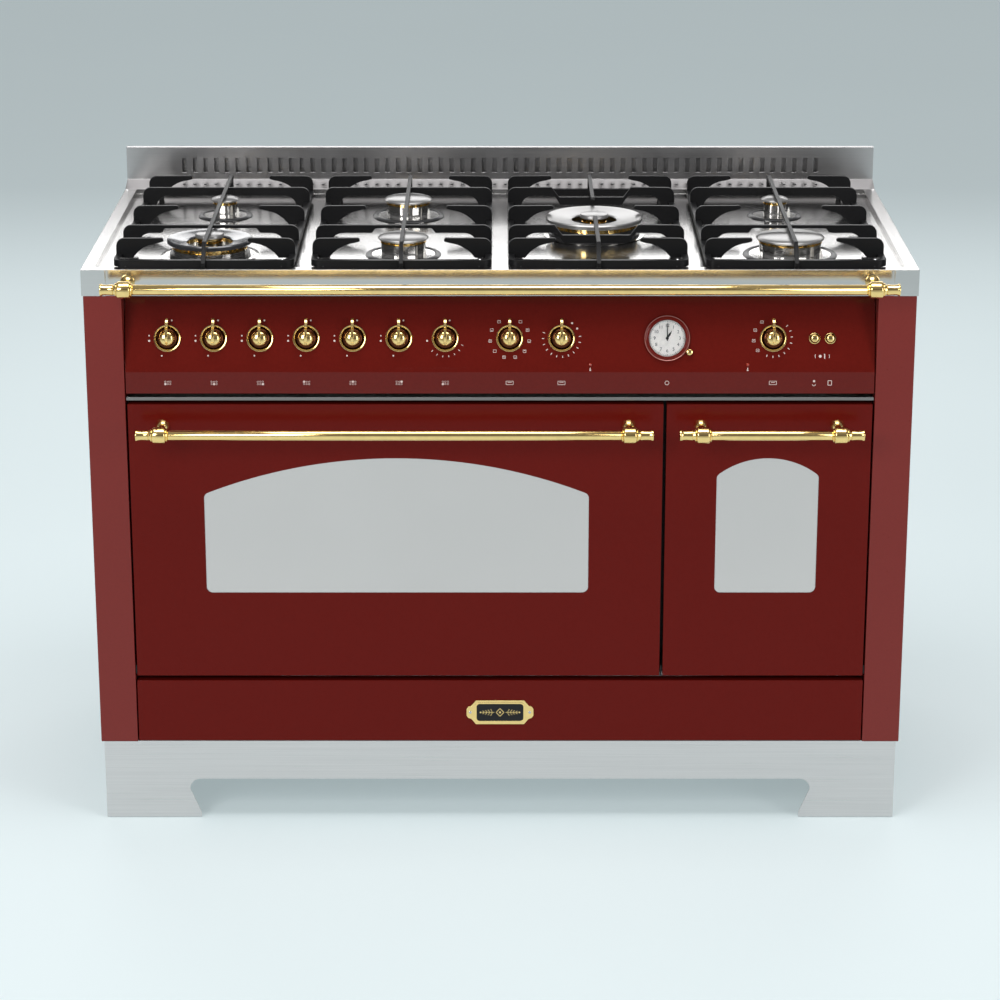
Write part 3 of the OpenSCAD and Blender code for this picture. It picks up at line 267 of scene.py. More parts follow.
brass = coated("polished_brass", (0.90, 0.66, 0.27), 0.1, metal=1.0, grain=(90, 90, 90),
               drift=0.05, ripple=0.015, spread=0.35)


def rail(node, body, name):
    """A tube with end caps, two ferrules and their posts, as long as its part."""
    low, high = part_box(node)
    radius, ferrule_r = 0.0075, (high.z - low.z) / 2
    axis_y, z = low.y + ferrule_r, (low.z + high.z) / 2
    inset, face = 0.034, high.y
    bm = bmesh.new()
    along = facing((low.x, axis_y, z), (1, 0, 0))
    length = high.x - low.x
    cap = [(0, 0.0006), (0.0052, 0.0004), (0.0066, 0), (0.0084, 0.0006), (0.00875, 0.0016),
           (0.0085, 0.0028), (0.0076, 0.0048), (0.0072, 0.009), (0.0074, 0.014),
           (0.0078, 0.0172), (0.0078, 0.0186), (0.0072, 0.0192), (radius, 0.0196)]
    turned(bm, cap + [(r, length - h) for r, h in reversed(cap)], along, 64)
    bead = [(0.0074, -0.0118), (0.0096, -0.0118), (0.0101, -0.0108), (0.0096, -0.0098),
            (0.0106, -0.0095), (0.0118, -0.0086), (ferrule_r, -0.0070), (ferrule_r, 0.0070),
            (0.0118, 0.0086), (0.0106, 0.0095), (0.0096, 0.0098), (0.0101, 0.0108),
            (0.0096, 0.0118), (0.0074, 0.0118)]
    reach = face - axis_y
    post = [(0, 0.004), (0.0058, 0.004), (0.0058, 0.0135), (0.0072, 0.0142), (0.0076, 0.0152),
            (0.0072, 0.0162), (0.0054, 0.017), (0.0048, 0.024), (0.0050, reach - 0.0095),
            (0.0064, reach - 0.0085), (0.0076, reach - 0.0068), (0.0096, reach - 0.0038),
            (0.0105, reach - 0.0016), (0.0105, reach), (0, reach)]
    for x in (low.x + inset, high.x - inset):
        turned(bm, bead, facing((x, axis_y, z), (1, 0, 0)), 64, ring=True)
        turned(bm, post, facing((x, axis_y, z), (0, 1, 0)), 40)
    piece(name, bm, [brass], body, (node,))


rail("top_rail", "cabinet", "front_rail")
rail("large_door_handle", "large_door", "large_handle")
rail("small_door_handle", "small_door", "small_handle")

# ---- Control panel ----
# One enamelled sheet, folded so that the face leans back above an upright lip. Marks and
# symbols are screen printed in off-white ink and fired into the enamel.

face_enamel = coated("face_enamel", (0.12, 0.0075, 0.0045), 0.12, grain=(220, 220, 220),
                     drift=0.05, ripple=0.015, shine=0.22, soft=0.001)
dress("control_panel", face_enamel)

turns = {j["name"]: j for j in frame["record"]["behaviour"]["joints"]}
out = Vector(turns["knob_burner_1_turn"]["axis"])
up = out.cross(Vector((1, 0, 0)))
face_spot = Vector(turns["knob_burner_1_turn"]["pos_m"])
printed, lip_mid = 0.00002, 0.016


def on_face(x, above=0.0, proud=0.0):
    """A place on the leaning face: x across, above the knobs' line, proud of the enamel."""
    spot = Vector((x, face_spot.y, face_spot.z)) + up * above + out * proud
    across = Vector((1, 0, 0))
    frame_of_face = Matrix((across, up, out)).transposed().to_4x4()
    return Matrix.Translation(spot) @ frame_of_face


def on_lip(x):
    """A place on the upright lip, halfway up it."""
    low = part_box("control_panel")[0]
    spot = Vector((x, low.y - printed, low.z + lip_mid))
    return facing(spot, (0, -1, 0))


def plate(bm, outline, bottom, top, place, skin=0):
    """A flat plate with this outline between two heights."""
    rings = [[bm.verts.new(place @ Vector((x, y, z))) for x, y in outline]
             for z in (bottom, top)]
    bm.faces.new(rings[0][::-1]).material_index = skin
    bm.faces.new(rings[1]).material_index = skin
    for k in range(len(outline)):
        n = (k + 1) % len(outline)
        side = bm.faces.new((rings[0][k], rings[0][n], rings[1][n], rings[1][k]))
        side.material_index = skin


stroke_t, dot_corners = 0.00012, 14


def bar(bm, start, end, width, place):
    """A printed or cut stroke from start to end."""
    run = Vector(end) - Vector(start)
    side = Vector((-run.y, run.x)).normalized() * width / 2
    a, b = Vector(start), Vector(end)
    plate(bm, [a - side, b - side, b + side, a + side], 0, stroke_t, place)


def dot(bm, spot, radius, place):
    """A printed spot."""
    plate(bm, [(spot[0] + radius * math.cos(2 * math.pi * k / dot_corners),
                spot[1] + radius * math.sin(2 * math.pi * k / dot_corners))
               for k in range(dot_corners)], 0, stroke_t, place)


def circle(bm, spot, radius, width, place, start=0, stop=360, strokes=20):
    """A printed ring or arc, in short strokes; start and stop are in degrees."""
    angles = [math.radians(start + (stop - start) * k / strokes) for k in range(strokes + 1)]
    points = [(spot[0] + radius * math.cos(a), spot[1] + radius * math.sin(a)) for a in angles]
    for a, b in zip(points, points[1:]):
        bar(bm, a, b, width, place)


def box_mark(bm, spot, half_w, half_h, width, place):
    """A printed rectangle."""
    x, y = spot
    corners = [(x - half_w, y - half_h), (x + half_w, y - half_h), (x + half_w, y + half_h),
               (x - half_w, y + half_h)]
    for a, b in zip(corners, corners[1:] + corners[:1]):
        bar(bm, a, b, width, place)


ink = coated("printed_ink", (0.74, 0.60, 0.56), 0.45, grain=(900, 900, 900), drift=0.06)
marks = bmesh.new()
burner_x = [turns["knob_burner_%d_turn" % k]["pos_m"][0] for k in range(1, 8)]
mark_r, tick_in, tick_out, box_r = 0.0265, 0.0252, 0.0284, 0.0285


def polar(degrees, radius=mark_r):
    """Degrees clockwise from the top."""
    a = math.radians(degrees)
    return (radius * math.sin(a), radius * math.cos(a))


for k, x in enumerate(burner_x):
    here = on_face(x, proud=printed)
    dot(marks, polar(14), 0.0013, here)
    if k < 6:
        dot(marks, polar(-82), 0.0011, here)
        dot(marks, polar(-98), 0.0015, here)
        dot(marks, polar(-162), 0.0012, here)
    else:
        for tick in range(7):
            bar(marks, polar(112 + 19 * tick, 0.0250), polar(112 + 19 * tick, 0.0278),
                0.0009, here)
        dot(marks, polar(-98), 0.0014, here)
mode = on_face(turns["knob_oven_mode_turn"]["pos_m"][0], proud=printed)
dot(marks, polar(0, 0.0275), 0.0012, mode)
for k in range(10):
    spot = polar(33 + 32.7 * k, box_r)
    box_mark(marks, spot, 0.0021, 0.0019, 0.0005, mode)
    if k % 2:
        bar(marks, (spot[0] - 0.0012, spot[1] + 0.0009), (spot[0] + 0.0012, spot[1] + 0.0009),
            0.0006, mode)
    if k % 3:
        bar(marks, (spot[0] - 0.0012, spot[1] - 0.0009), (spot[0] + 0.0012, spot[1] - 0.0009),
            0.0006, mode)
heat = on_face(turns["knob_oven_heat_turn"]["pos_m"][0], proud=printed)
dot(marks, polar(35), 0.0015, heat)
dot(marks, polar(58), 0.0016, heat)
for k in range(12):
    bar(marks, polar(84 + 18.5 * k, tick_in), polar(84 + 18.5 * k, tick_out), 0.0011, heat)
small = on_face(turns["knob_small_oven_turn"]["pos_m"][0], proud=printed)
for k in range(9):
    bar(marks, polar(48 + 19 * k, tick_in), polar(48 + 19 * k, tick_out), 0.0011, small)
for k in range(4):
    spot = polar(232 + 31 * k, box_r)
    box_mark(marks, spot, 0.0021, 0.0019, 0.0005, small)
    bar(marks, (spot[0] - 0.0012, spot[1]), (spot[0] + 0.0012, spot[1]), 0.0006, small)
buttons_x = [sum(v.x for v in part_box(node)) / 2 for node in ("button_left", "button_right")]
pair = on_face(sum(buttons_x) / 2, proud=printed)
for side in (-1, 1):
    circle(marks, (side * 0.0042, -0.026), 0.0062, 0.0008, pair, 155 if side < 0 else -25,
           205 if side < 0 else 25, 5)
dot(marks, (-0.003, -0.026), 0.0021, pair)
bar(marks, (0.0034, -0.0225), (0.0034, -0.0295), 0.0014, pair)
lamp_low, lamp_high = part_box("indicator_lamps")
lamp_x = [lamp_low.x + 0.0025, lamp_high.x - 0.0025]
for x in lamp_x:
    drop = on_face(x, above=-0.046, proud=printed)
    dot(marks, (0, 0), 0.0013, drop)
    bar(marks, (0, 0), (0, 0.0034), 0.0013, drop)

control_x = burner_x + [turns[n]["pos_m"][0] for n in (
    "knob_oven_mode_turn", "knob_oven_heat_turn", "knob_small_oven_turn")]
for k, x in enumerate(burner_x):
    lip = on_lip(x)
    for row in (-1, 1):
        for col in (-1, 0, 1):
            if (col + 1 + (row + 1) * 1.5) == k % 6:
                dot(marks, (col * 0.0036, row * 0.0018), 0.0017, lip)
            else:
                circle(marks, (col * 0.0036, row * 0.0018), 0.0011, 0.0004, lip, strokes=8)
for x in control_x[len(burner_x):]:
    lip = on_lip(x)
    box_mark(marks, (0, 0), 0.0052, 0.0026, 0.0007, lip)
    bar(marks, (-0.003, 0.0006), (0.003, 0.0006), 0.0007, lip)
clock_x = turns["minute_hand_turn"]["pos_m"][0]
circle(marks, (0, 0), 0.0029, 0.0008, on_lip(clock_x), strokes=14)
dot(marks, (0, 0.0026), 0.0017, on_lip(buttons_x[0]))
circle(marks, (0, -0.0022), 0.0022, 0.0009, on_lip(buttons_x[0]), 180, 360, 8)
box_mark(marks, (0, 0), 0.0026, 0.0034, 0.0009, on_lip(buttons_x[1]))
piece("panel_marks", marks, [ink], "cabinet")

# ---- Knob bezels and button collars ----
# Turned brass dishes, pressed into the face behind each knob, and plain collars round the
# two push buttons.

bezels = bmesh.new()
# Painted shade: the wells inside the bezels and the skirts of the knobs take a near-black brown
# brass that stands in for shade and dark reflections in polished brass.
painted_dark_brass = coated("brass_painted_shade", (0.075, 0.022, 0.008), 0.2, metal=0.9,
                    grain=(300, 300, 300), drift=0.1)
rim = [(0.0154, 0.0008), (0.0163, 0.0026), (0.0175, 0.0033), (0.0189, 0.0034),
       (0.0197, 0.0027), (0.0200, 0.0014), (0.0200, 0), (0.0154, 0)]
well = [(0.0056, 0.0003), (0.0138, 0.0003), (0.0154, 0.0008), (0.0154, 0), (0.0056, 0)]
for x in control_x:
    turned(bezels, rim, on_face(x), 72, ring=True)
    # The well takes the near-black brass as painted shade.
    turned(bezels, well, on_face(x), 72, ring=True, skin=1)
collar = [(0.0065, 0), (0.0085, 0), (0.0085, 0.0024), (0.0080, 0.0034), (0.0072, 0.0038),
          (0.0066, 0.0032)]
for x in buttons_x:
    turned(bezels, collar, on_face(x), 48, ring=True)
piece("bezels_and_collars", bezels, [brass, painted_dark_brass], "cabinet", ("knob_bezels",))

# ---- Knobs ----
# Cast and polished brass: a domed button with a slim lever that stands out of it and points
# past the bezel. A steel spindle carries it to the tap or switch behind the face.

spindle_steel = coated("spindle_steel", (0.55, 0.55, 0.56), 0.25, metal=1.0,
                       grain=(600, 600, 40))
skirt = [(0.0040, 0.0018), (0.0132, 0.0018), (0.0140, 0.0026), (0.0140, 0.0036),
         (0.0130, 0.0044), (0.0112, 0.0050), (0.0108, 0.0062), (0.0040, 0.0062)]
dome = [(0, 0.0055), (0.0106, 0.0055), (0.0105, 0.0070), (0.0110, 0.0084), (0.0112, 0.0098),
        (0.0108, 0.0118), (0.0096, 0.0136), (0.0076, 0.0150), (0.0050, 0.0159),
        (0.0022, 0.0162), (0, 0.0163)]
lever = [(-0.0088, 0.0090), (-0.0096, 0.0120), (-0.0080, 0.0156), (-0.0040, 0.0186),
         (0.0010, 0.0199), (0.0080, 0.0194), (0.0150, 0.0172), (0.0220, 0.0143),
         (0.0268, 0.0122), (0.0287, 0.0106), (0.0289, 0.0086), (0.0276, 0.0074),
         (0.0220, 0.0070), (0.0150, 0.0074), (0.0060, 0.0080)]
along_y = Matrix(((0, 0, 1, 0), (1, 0, 0, 0), (0, 1, 0, 0), (0, 0, 0, 1)))
for name in [n for n in frame["nodes"] if n.startswith("knob_") and n != "knob_bezels"]:
    x = turns[name + "_turn"]["pos_m"][0]
    bm = bmesh.new()
    # The skirt takes the near-black brass as painted shade and dark reflection.
    turned(bm, skirt, on_face(x), 64, ring=True, skin=2)
    turned(bm, dome, on_face(x), 64)
    plate(bm, lever, -0.0021, 0.0021, on_face(x) @ along_y)
    turned(bm, [(0, -0.044), (0.0034, -0.044), (0.0040, -0.043), (0.0040, 0.0030),
                (0, 0.0030)], on_face(x), 32, skin=1)
    piece(name + "_cast", bm, [brass, spindle_steel, painted_dark_brass], name, (name,),
          edge=0.0011)

# ---- Push buttons and lamps ----
# Domed brass caps on short stems that spring back, and two red lenses lit from behind.

for name, x in zip(("button_left", "button_right"), buttons_x):
    bm = bmesh.new()
    turned(bm, [(0, -0.017), (0.003, -0.017), (0.003, 0.0035), (0.0052, 0.0035),
                (0.0060, 0.0042), (0.0060, 0.0066), (0.0055, 0.0078), (0.0042, 0.0086),
                (0.0022, 0.0089), (0, 0.0090)], on_face(x), 48)
    piece(name + "_cap", bm, [brass], name, (name,))
red_lens = coated("red_lens", (0.45, 0.03, 0.01), 0.15, grain=(500, 500, 500), coat=0.5)
red_lens.node_tree.nodes["Principled BSDF"].inputs["Transmission Weight"].default_value = 0.3
dress("indicator_lamps", red_lens, 0.0003)

# ---- Clock ----
# A printed ivory dial in a round enamelled case, with a thin polished bead round its rim.
# Two black hands turn on one arbor under a flat glass, and a brass button sets them.

bm = bmesh.new()
turned(bm, [(0.0265, 0.0006), (0.0265, 0.0040), (0.0272, 0.0047), (0.0281, 0.0050),
            (0.0300, 0.0046), (0.0316, 0.0038), (0.0327, 0.0022), (0.0330, 0),
            (0.0262, 0), (0.0262, 0.0006)], on_face(clock_x), 96, ring=True)
turned(bm, [(0.0252, 0), (0.0252, -0.031), (0.0242, -0.032), (0, -0.032), (0, -0.031),
            (0.0240, -0.0305), (0.0240, 0)], on_face(clock_x), 48)
turned(bm, [(0.0316, 0.0036), (0.0322, 0.0040), (0.0328, 0.0034), (0.0322, 0.0028)],
       on_face(clock_x), 96, ring=True, skin=1)
bead_pink = coated("clock_bead", (0.55, 0.22, 0.19), 0.25, metal=0.6, grain=(300, 300, 300))
piece("clock_ring", bm, [face_enamel, bead_pink], "cabinet", ("clock_case",))
ivory = coated("ivory_dial", (0.90, 0.855, 0.80), 0.4, grain=(160, 160, 160), drift=0.04)
dress("clock_dial", ivory, 0.0001)
hand_black = coated("hand_black", (0.012, 0.012, 0.012), 0.35, grain=(300, 300, 300))
for node in ("hour_hand", "minute_hand"):
    dress(node, hand_black, 0.0001)

clear = coated("clear_glass", (0.97, 0.98, 1.0), 0.02, grain=(40, 40, 40), drift=0.005,
               ripple=0.0)
clear.node_tree.nodes["Principled BSDF"].inputs["Transmission Weight"].default_value = 1.0
clear.node_tree.nodes["Principled BSDF"].inputs["IOR"].default_value = 1.15
dress("clock_glass", clear)


def numeral(bm, text, size, place):
    """A dial figure, as a thin raised shape."""
    face = bpy.data.curves.new("figure", "FONT")
    face.body = text
    face.size = size
    face.align_x = "CENTER"
    face.align_y = "CENTER"
    face.extrude = 0.00004
    holder = bpy.data.objects.new("figure", face)
    mesh = bpy.data.meshes.new_from_object(holder)
    mesh.transform(place)
    bm.from_mesh(mesh)
    bpy.data.meshes.remove(mesh)
    bpy.data.objects.remove(holder)
    bpy.data.curves.remove(face)


figures = bmesh.new()
dial = on_face(clock_x, proud=0.00134)
for hour in range(1, 13):
    numeral(figures, str(hour), 0.0066,
            dial @ Matrix.Translation((*polar(hour * 30, 0.0183), 0.00005)))
for minute in range(60):
    long = minute % 5 == 0
    bar(figures, polar(minute * 6, 0.0228 if long else 0.0236), polar(minute * 6, 0.0248),
        0.0006 if long else 0.0003, dial)
circle(figures, (0, 0), 0.0252, 0.0003, dial, strokes=60)
piece("dial_figures", figures, [hand_black], "cabinet")
low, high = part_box("clock_button")
bm = bmesh.new()
setter = on_face((low.x + high.x) / 2, above=-0.0202)
turned(bm, [(0, -0.014), (0.002, -0.014), (0.002, 0.0025), (0.0040, 0.0025),
            (0.00475, 0.0032), (0.00475, 0.0050), (0.0042, 0.0064), (0.0028, 0.0071),
            (0, 0.0073)], setter, 40)
piece("clock_setter", bm, [brass], "clock_button", ("clock_button",))

# ---- Gas pipes, taps and switches ----
# Drawn brass manifold and burner tubes with forged taps, all hidden behind the face.

tarnished = coated("tarnished_brass", (0.62, 0.45, 0.22), 0.35, metal=1.0,
                   grain=(70, 70, 70), drift=0.2)
dress("gas_pipes", tarnished)
dress("taps_and_switches", tarnished, 0.0006)

# ---- Burners ----
# Cast alloy seats and fluted crowns under pressed caps. Each crown is a grooved wall with a
# brass ring of ports on top; the two ring burners hold a small burner in the middle.

alloy = coated("burner_alloy", (0.74, 0.73, 0.71), 0.16, metal=1.0, grain=(300, 300, 300),
               drift=0.08, spread=0.3)
dark_seat = coated("dark_seat", (0.018, 0.018, 0.019), 0.35, grain=(200, 200, 200))
cap_grey = coated("cap_grey", (0.34, 0.335, 0.33), 0.34, metal=0.85, grain=(160, 160, 160),
                  drift=0.06)
cap_black = coated("cap_black", (0.05, 0.052, 0.056), 0.22, metal=0.4, grain=(160, 160, 160),
                   coat=0.5)
ceramic = coated("spark_ceramic", (0.82, 0.80, 0.76), 0.25, grain=(300, 300, 300), coat=0.3)
low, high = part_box("grate_1")
tray_z = low.z
row_first, row_last = low.y + 0.052, high.y - 0.013
row_mid = (row_first + row_last) / 2
row_step = (row_last - row_first) * 0.302
front_y, rear_y, wok_y = row_first + 0.064, row_mid + row_step - 0.026, row_mid - 0.024


def fluted(bm, outer, inner, low, high, place, flutes, depth, skin=0):
    """A ring wall with narrow grooves down its outside."""
    steps = flutes * 4
    loops = []
    for radius, height in ((inner, low), (outer, low), (outer, high), (inner, high)):
        loop = []
        for k in range(steps):
            t = 2 * math.pi * k / steps
            r = radius - depth if radius == outer and k % 4 == 3 else radius
            loop.append(bm.verts.new(place @ Vector((r * math.cos(t), r * math.sin(t), height))))
        loops.append(loop)
    for a, b in zip(loops, loops[1:] + loops[:1]):
        for k in range(steps):
            n = (k + 1) % steps
            bm.faces.new((a[k], a[n], b[n], b[k])).material_index = skin


def crown(bm, outer, inner, low, high, place, teeth, band, wall_skin=0):
    """A fluted wall with a brass ring of flame ports on top of it."""
    foot = high - band
    fluted(bm, outer, inner, low, foot, place, max(8, teeth // 2), 0.0011, wall_skin)
    turned(bm, [(inner, foot), (outer + 0.0010, foot), (outer + 0.0010, foot + 0.0014),
                (outer - 0.0014, foot + 0.0018), (outer - 0.0014, high), (inner, high)],
           place, 72, ring=True, skin=1)
    for k in range(teeth):
        mid, half = 2 * math.pi * k / teeth, math.pi / teeth * 0.6
        outline = [(r * math.cos(mid + t * half), r * math.sin(mid + t * half))
                   for r, t in ((outer - 0.002, -1), (outer + 0.0004, -1),
                                (outer + 0.0004, 1), (outer - 0.002, 1))]
        plate(bm, outline, foot + 0.0014, high, place, skin=1)


cap_high, cap_t = 0.0315, 0.0070


def burner(body, lids, spot, cap_r, seat_r, cup_r, ring_in, drop):
    """One burner on its seat: a plain cap, or a dished ring when ring_in is given."""
    place = Matrix.Translation(spot)
    cup, top = cup_r - 0.0015, cap_high - drop
    under = top - cap_t
    turned(body, [(0, -0.030), (cup, -0.030), (cup, 0.0001), (seat_r, 0.0001),
                  (seat_r, 0.0007), (seat_r - 0.0018, 0.0016), (seat_r - 0.006, 0.0019),
                  (cap_r + 0.0035, 0.0012), (cap_r - 0.006, 0.0006), (0, 0.0006)], place, 96)
    teeth = int(cap_r * 1000 / 1.5)
    if not ring_in:
        turned(body, [(seat_r - 0.0092, 0.0014), (seat_r - 0.0070, 0.0030),
                      (seat_r - 0.0020, 0.0026), (seat_r, 0.0008), (seat_r, 0.0001)],
               place, 96, ring=True, skin=2)
        crown(body, cap_r - 0.0045, cap_r - 0.012, 0.0008, under, place, teeth, 0.0050)
        turned(lids, [(0, under), (cap_r - 0.0012, under), (cap_r, under + 0.0010),
                      (cap_r, under + 0.0022), (cap_r - 0.0016, under + 0.0038),
                      (cap_r - 0.006, under + 0.0053), (cap_r * 0.6, top - 0.0005),
                      (0, top)], place, 96)
        return
    black = 2 if cap_r > 0.07 else 0
    crown(body, cap_r - 0.008, ring_in + 0.012, 0.0008, under, place, teeth, 0.0072, black)
    fluted(body, cap_r - 0.0035, cap_r - 0.009, 0.0008, 0.0050, place, 40, 0.0006, 2)
    crown(body, ring_in + 0.008, ring_in + 0.003, 0.0008, under, place, 24, 0.0060, black)
    inner_r, inner_top = 0.0215, 0.0340
    crown(body, 0.0178, 0.010, 0.0008, inner_top - cap_t, place, 18, 0.0070)
    turned(lids, [(ring_in, under), (cap_r - 0.0012, under), (cap_r, under + 0.0012),
                  (cap_r, top - 0.0016), (cap_r - 0.0015, top), (cap_r - 0.0045, top - 0.0002),
                  (cap_r - 0.010, top - 0.0012), (ring_in + 0.006, top - 0.0044),
                  (ring_in + 0.0012, top - 0.0048), (ring_in, top - 0.0058)],
           place, 96, ring=True, skin=0 if black else 1)
    turned(lids, [(0, inner_top - cap_t), (inner_r - 0.001, inner_top - cap_t),
                  (inner_r, inner_top - 0.0060), (inner_r, inner_top - 0.0036),
                  (inner_r - 0.0014, inner_top - 0.0016), (inner_r - 0.005, inner_top - 0.0005),
                  (0, inner_top)], place, 72)


body, lids, sparks = bmesh.new(), bmesh.new(), bmesh.new()
grate_mid = [sum(v.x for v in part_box("grate_%d" % k)) / 2 for k in range(1, 5)]
# Grate, y, then the radii of cap, seat and cup, the hole in a ring cap, and how far it drops.
burners = [(0, front_y, 0.0625, 0.072, 0.058, 0.034, 0.006),
           (0, rear_y, 0.022, 0.042, 0.026, 0, 0),
           (1, front_y, 0.037, 0.0555, 0.040, 0, 0), (1, rear_y, 0.037, 0.0555, 0.040, 0, 0),
           (2, wok_y, 0.0725, 0.071, 0.058, 0.034, 0.0025),
           (3, front_y, 0.050, 0.069, 0.052, 0, 0), (3, rear_y, 0.0215, 0.042, 0.026, 0, 0)]
plug_foot = 0.0021
for grate, y, cap_r, seat_r, cup_r, ring_in, drop in burners:
    spot = Vector((grate_mid[grate], y, tray_z))
    burner(body, lids, spot, cap_r, seat_r, cup_r, ring_in, drop)
    away = 0.0278 if ring_in else cap_r + 0.005
    foot = Matrix.Translation(spot + Vector((away * 0.766, -away * 0.643, plug_foot)))
    turned(sparks, [(0, 0), (0.0024, 0), (0.0024, 0.008), (0.0018, 0.0086), (0.0018, 0.0118),
                    (0.0008, 0.0122), (0.0008, 0.0148), (0, 0.0150)], foot, 20)
piece("burner_seats_and_crowns", body, [alloy, brass, dark_seat], "cabinet",
      ("burner_bodies",))
piece("burner_lids", lids, [cap_grey, cap_black], "cabinet", ("burner_caps",))
piece("spark_plugs", sparks, [ceramic], "cabinet", ("igniters",))

# ---- Grates ----
# Cast iron in matt black enamel: a rounded frame on small feet, deep webs and arms across it,
# and a blade from front to back. Sand casting leaves a fine grain and soft edges.

iron = coated("cast_iron", (0.0075, 0.0075, 0.008), 0.42, grain=(700, 700, 700), drift=0.2,
              ripple=0.2, spread=0.25, shine=0.16)


def arc(x, y, radius, start, stop, count=6):
    """Points along an arc between two angles in degrees."""
    return [(x + radius * math.cos(math.radians(start + (stop - start) * k / count)),
             y + radius * math.sin(math.radians(start + (stop - start) * k / count)))
            for k in range(count + 1)]


def ring_of(bm, outer, inner, low, high):
    """A flat frame between two outlines with equal counts of points."""
    loops = [[bm.verts.new((x, y, z)) for x, y in line]
             for line, z in ((outer, low), (outer, high), (inner, high), (inner, low))]
    for a, b in zip(loops, loops[1:] + loops[:1]):
        for k in range(len(a)):
            n = (k + 1) % len(a)
            bm.faces.new((a[k], a[n], b[n], b[k]))


def rounded(x0, y0, x1, y1, r):
    """A rectangle with round corners."""
    return (arc(x1 - r, y0 + r, r, -90, 0) + arc(x1 - r, y1 - r, r, 0, 90)
            + arc(x0 + r, y1 - r, r, 90, 180) + arc(x0 + r, y0 + r, r, 180, 270))


sunk, frame_low, frame_top = 0.011, 0.007, 0.0168


def shoulder(half, top):
    """The outer end of a web: up from the frame and round to the top."""
    return [(half - 0.0004, sunk)] + arc(half - 0.012, top - 0.012, 0.0116, 0, 90, 6)


def arm(half, top):
    """A web that stops short of the middle, with a hollow under it."""
    return (shoulder(half, top) + [(half - 0.067, top), (half - 0.069, top - 0.002),
                                   (half - 0.069, top - 0.005)]
            + arc(half - 0.066, top - 0.057, 0.050, 84, 33, 8) + [(half - 0.023, sunk)])


def cross_bar(half, top, arch, dip):
    """A web right across, arched over a lid or dipped in its middle."""
    under = top - 0.012
    if dip:
        upper = [(0.062, top), (0.050, top - dip)]
        lower = [(0.048, under - dip), (0.058, under)]
    else:
        upper = []
        lower = [(arch, top - 0.005), (arch + 0.006, under)]
    right = lower + arc(half - 0.042, under - 0.022, 0.022, 90, 10, 7) + [(half - 0.020, sunk)]
    right += shoulder(half, top) + upper
    return right + [(-x, z) for x, z in reversed(right)]


across_y = Matrix(((1, 0, 0, 0), (0, 0, 1, 0), (0, 1, 0, 0), (0, 0, 0, 1)))
bar_w, web, blade, wok_dip = 0.009, 0.003, 0.0029, 0.0155
lid_arches = ((0.067, 0.027), (0.041, 0.041), (0, 0), (0.054, 0.027))
for k in range(4):
    name = "grate_%d" % (k + 1)
    low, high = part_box(name)
    mid, half = (low.x + high.x) / 2, (high.x - low.x) / 2
    y0, y1 = low.y + 0.007, high.y
    base, top = low.z, high.z - low.z
    bm = bmesh.new()
    ring_of(bm, rounded(low.x, y0, high.x, y1, 0.014),
            rounded(low.x + bar_w, y0 + bar_w, high.x - bar_w, y1 - bar_w, 0.007),
            base + frame_low, base + frame_top)
    for x in (low.x + 0.018, high.x - 0.018):
        for y in (y0 + bar_w / 2, y1 - bar_w / 2):
            turned(bm, [(0, 0), (0.0036, 0), (0.0046, 0.004), (0.0046, 0.009), (0, 0.009)],
                   Matrix.Translation((x, y, base)), 18, skin=1)
    # Painted highlight: a small bright steel stud on the frame's right front corner stands in
    # for a highlight on that corner.
    turned(bm, [(0, 0.0160), (0.0024, 0.0160), (0.0024, 0.0174), (0.0016, 0.0182),
                (0, 0.0184)], Matrix.Translation((high.x - 0.017, y0 + bar_w / 2, base)), 20,
           skin=2)
    wok = k == 2
    here = Matrix.Translation((mid, 0, base))
    for y in (row_first, row_mid, row_last):
        for side in (1, -1):
            flip = Matrix.Diagonal((side, 1, 1, 1))
            plate(bm, arm(half, top), y - web, y + web, here @ flip @ across_y)
    for y, arch in zip((row_mid - row_step, row_mid + row_step), lid_arches[k]):
        plate(bm, cross_bar(half, top, arch, wok_dip if wok else 0), y - web, y + web,
              here @ across_y)
    under = top - 0.005
    blade_in = [(y0 - 0.0060, 0.0085), (y0 - 0.0068, 0.0140), (y0 + 0.019, top - 0.0006),
                (y0 + 0.023, top)]
    blade_out = [(y1 - 0.005, top), (y1 - 0.0005, top - 0.004), (y1 - 0.0005, sunk),
                 (y1 - bar_w, sunk), (y1 - 0.016, under)]
    start = [(y0 + 0.024, under), (y0 + 0.010, 0.0178), (y0 + 0.009, 0.0085)]
    if wok:
        gap0, gap1 = wok_y - 0.046, wok_y + 0.080
        plate(bm, blade_in + [(gap0 - 0.003, top), (gap0, top - 0.002), (gap0, under)] + start,
              -blade, blade, here @ along_y)
        plate(bm, [(gap1 + 0.003, under), (gap1, top - 0.003), (gap1 + 0.003, top)] + blade_out,
              -blade, blade, here @ along_y)
    else:
        plate(bm, blade_in + blade_out + start, -blade, blade, here @ along_y)
    piece(name + "_casting", bm, [iron, black_plastic, spindle_steel], name,
          (name,), edge=0.0011)

# ---- Ovens ----
# Folded steel boxes fired with dark speckled enamel, ribbed to carry bright wire racks. A
# stainless fan turns behind the pierced cover, and black elements wind under the roofs.

liner = coated("speckled_enamel", (0.03, 0.034, 0.042), 0.22, grain=(900, 900, 900),
               drift=0.6, coat=0.4)
for node in ("large_oven_cavity", "small_oven_cavity", "large_door_liner",
             "small_door_liner"):
    dress(node, liner, 0.0006)
dress("oven_elements", coated("element_steel", (0.06, 0.055, 0.052), 0.5, metal=0.7,
                              grain=(200, 200, 200), drift=0.3))
dress("oven_fan", brushed("fan_steel", (0.55, 0.55, 0.56), 0.35, (300, 300, 300)), 0.0003)
dress("fan_motor", zinc, 0.0008)


def wire(bm, start, end, radius):
    """A straight round wire."""
    run = Vector(end) - Vector(start)
    turned(bm, [(0, 0), (radius, 0), (radius, run.length), (0, run.length)],
           facing(start, run), 10)


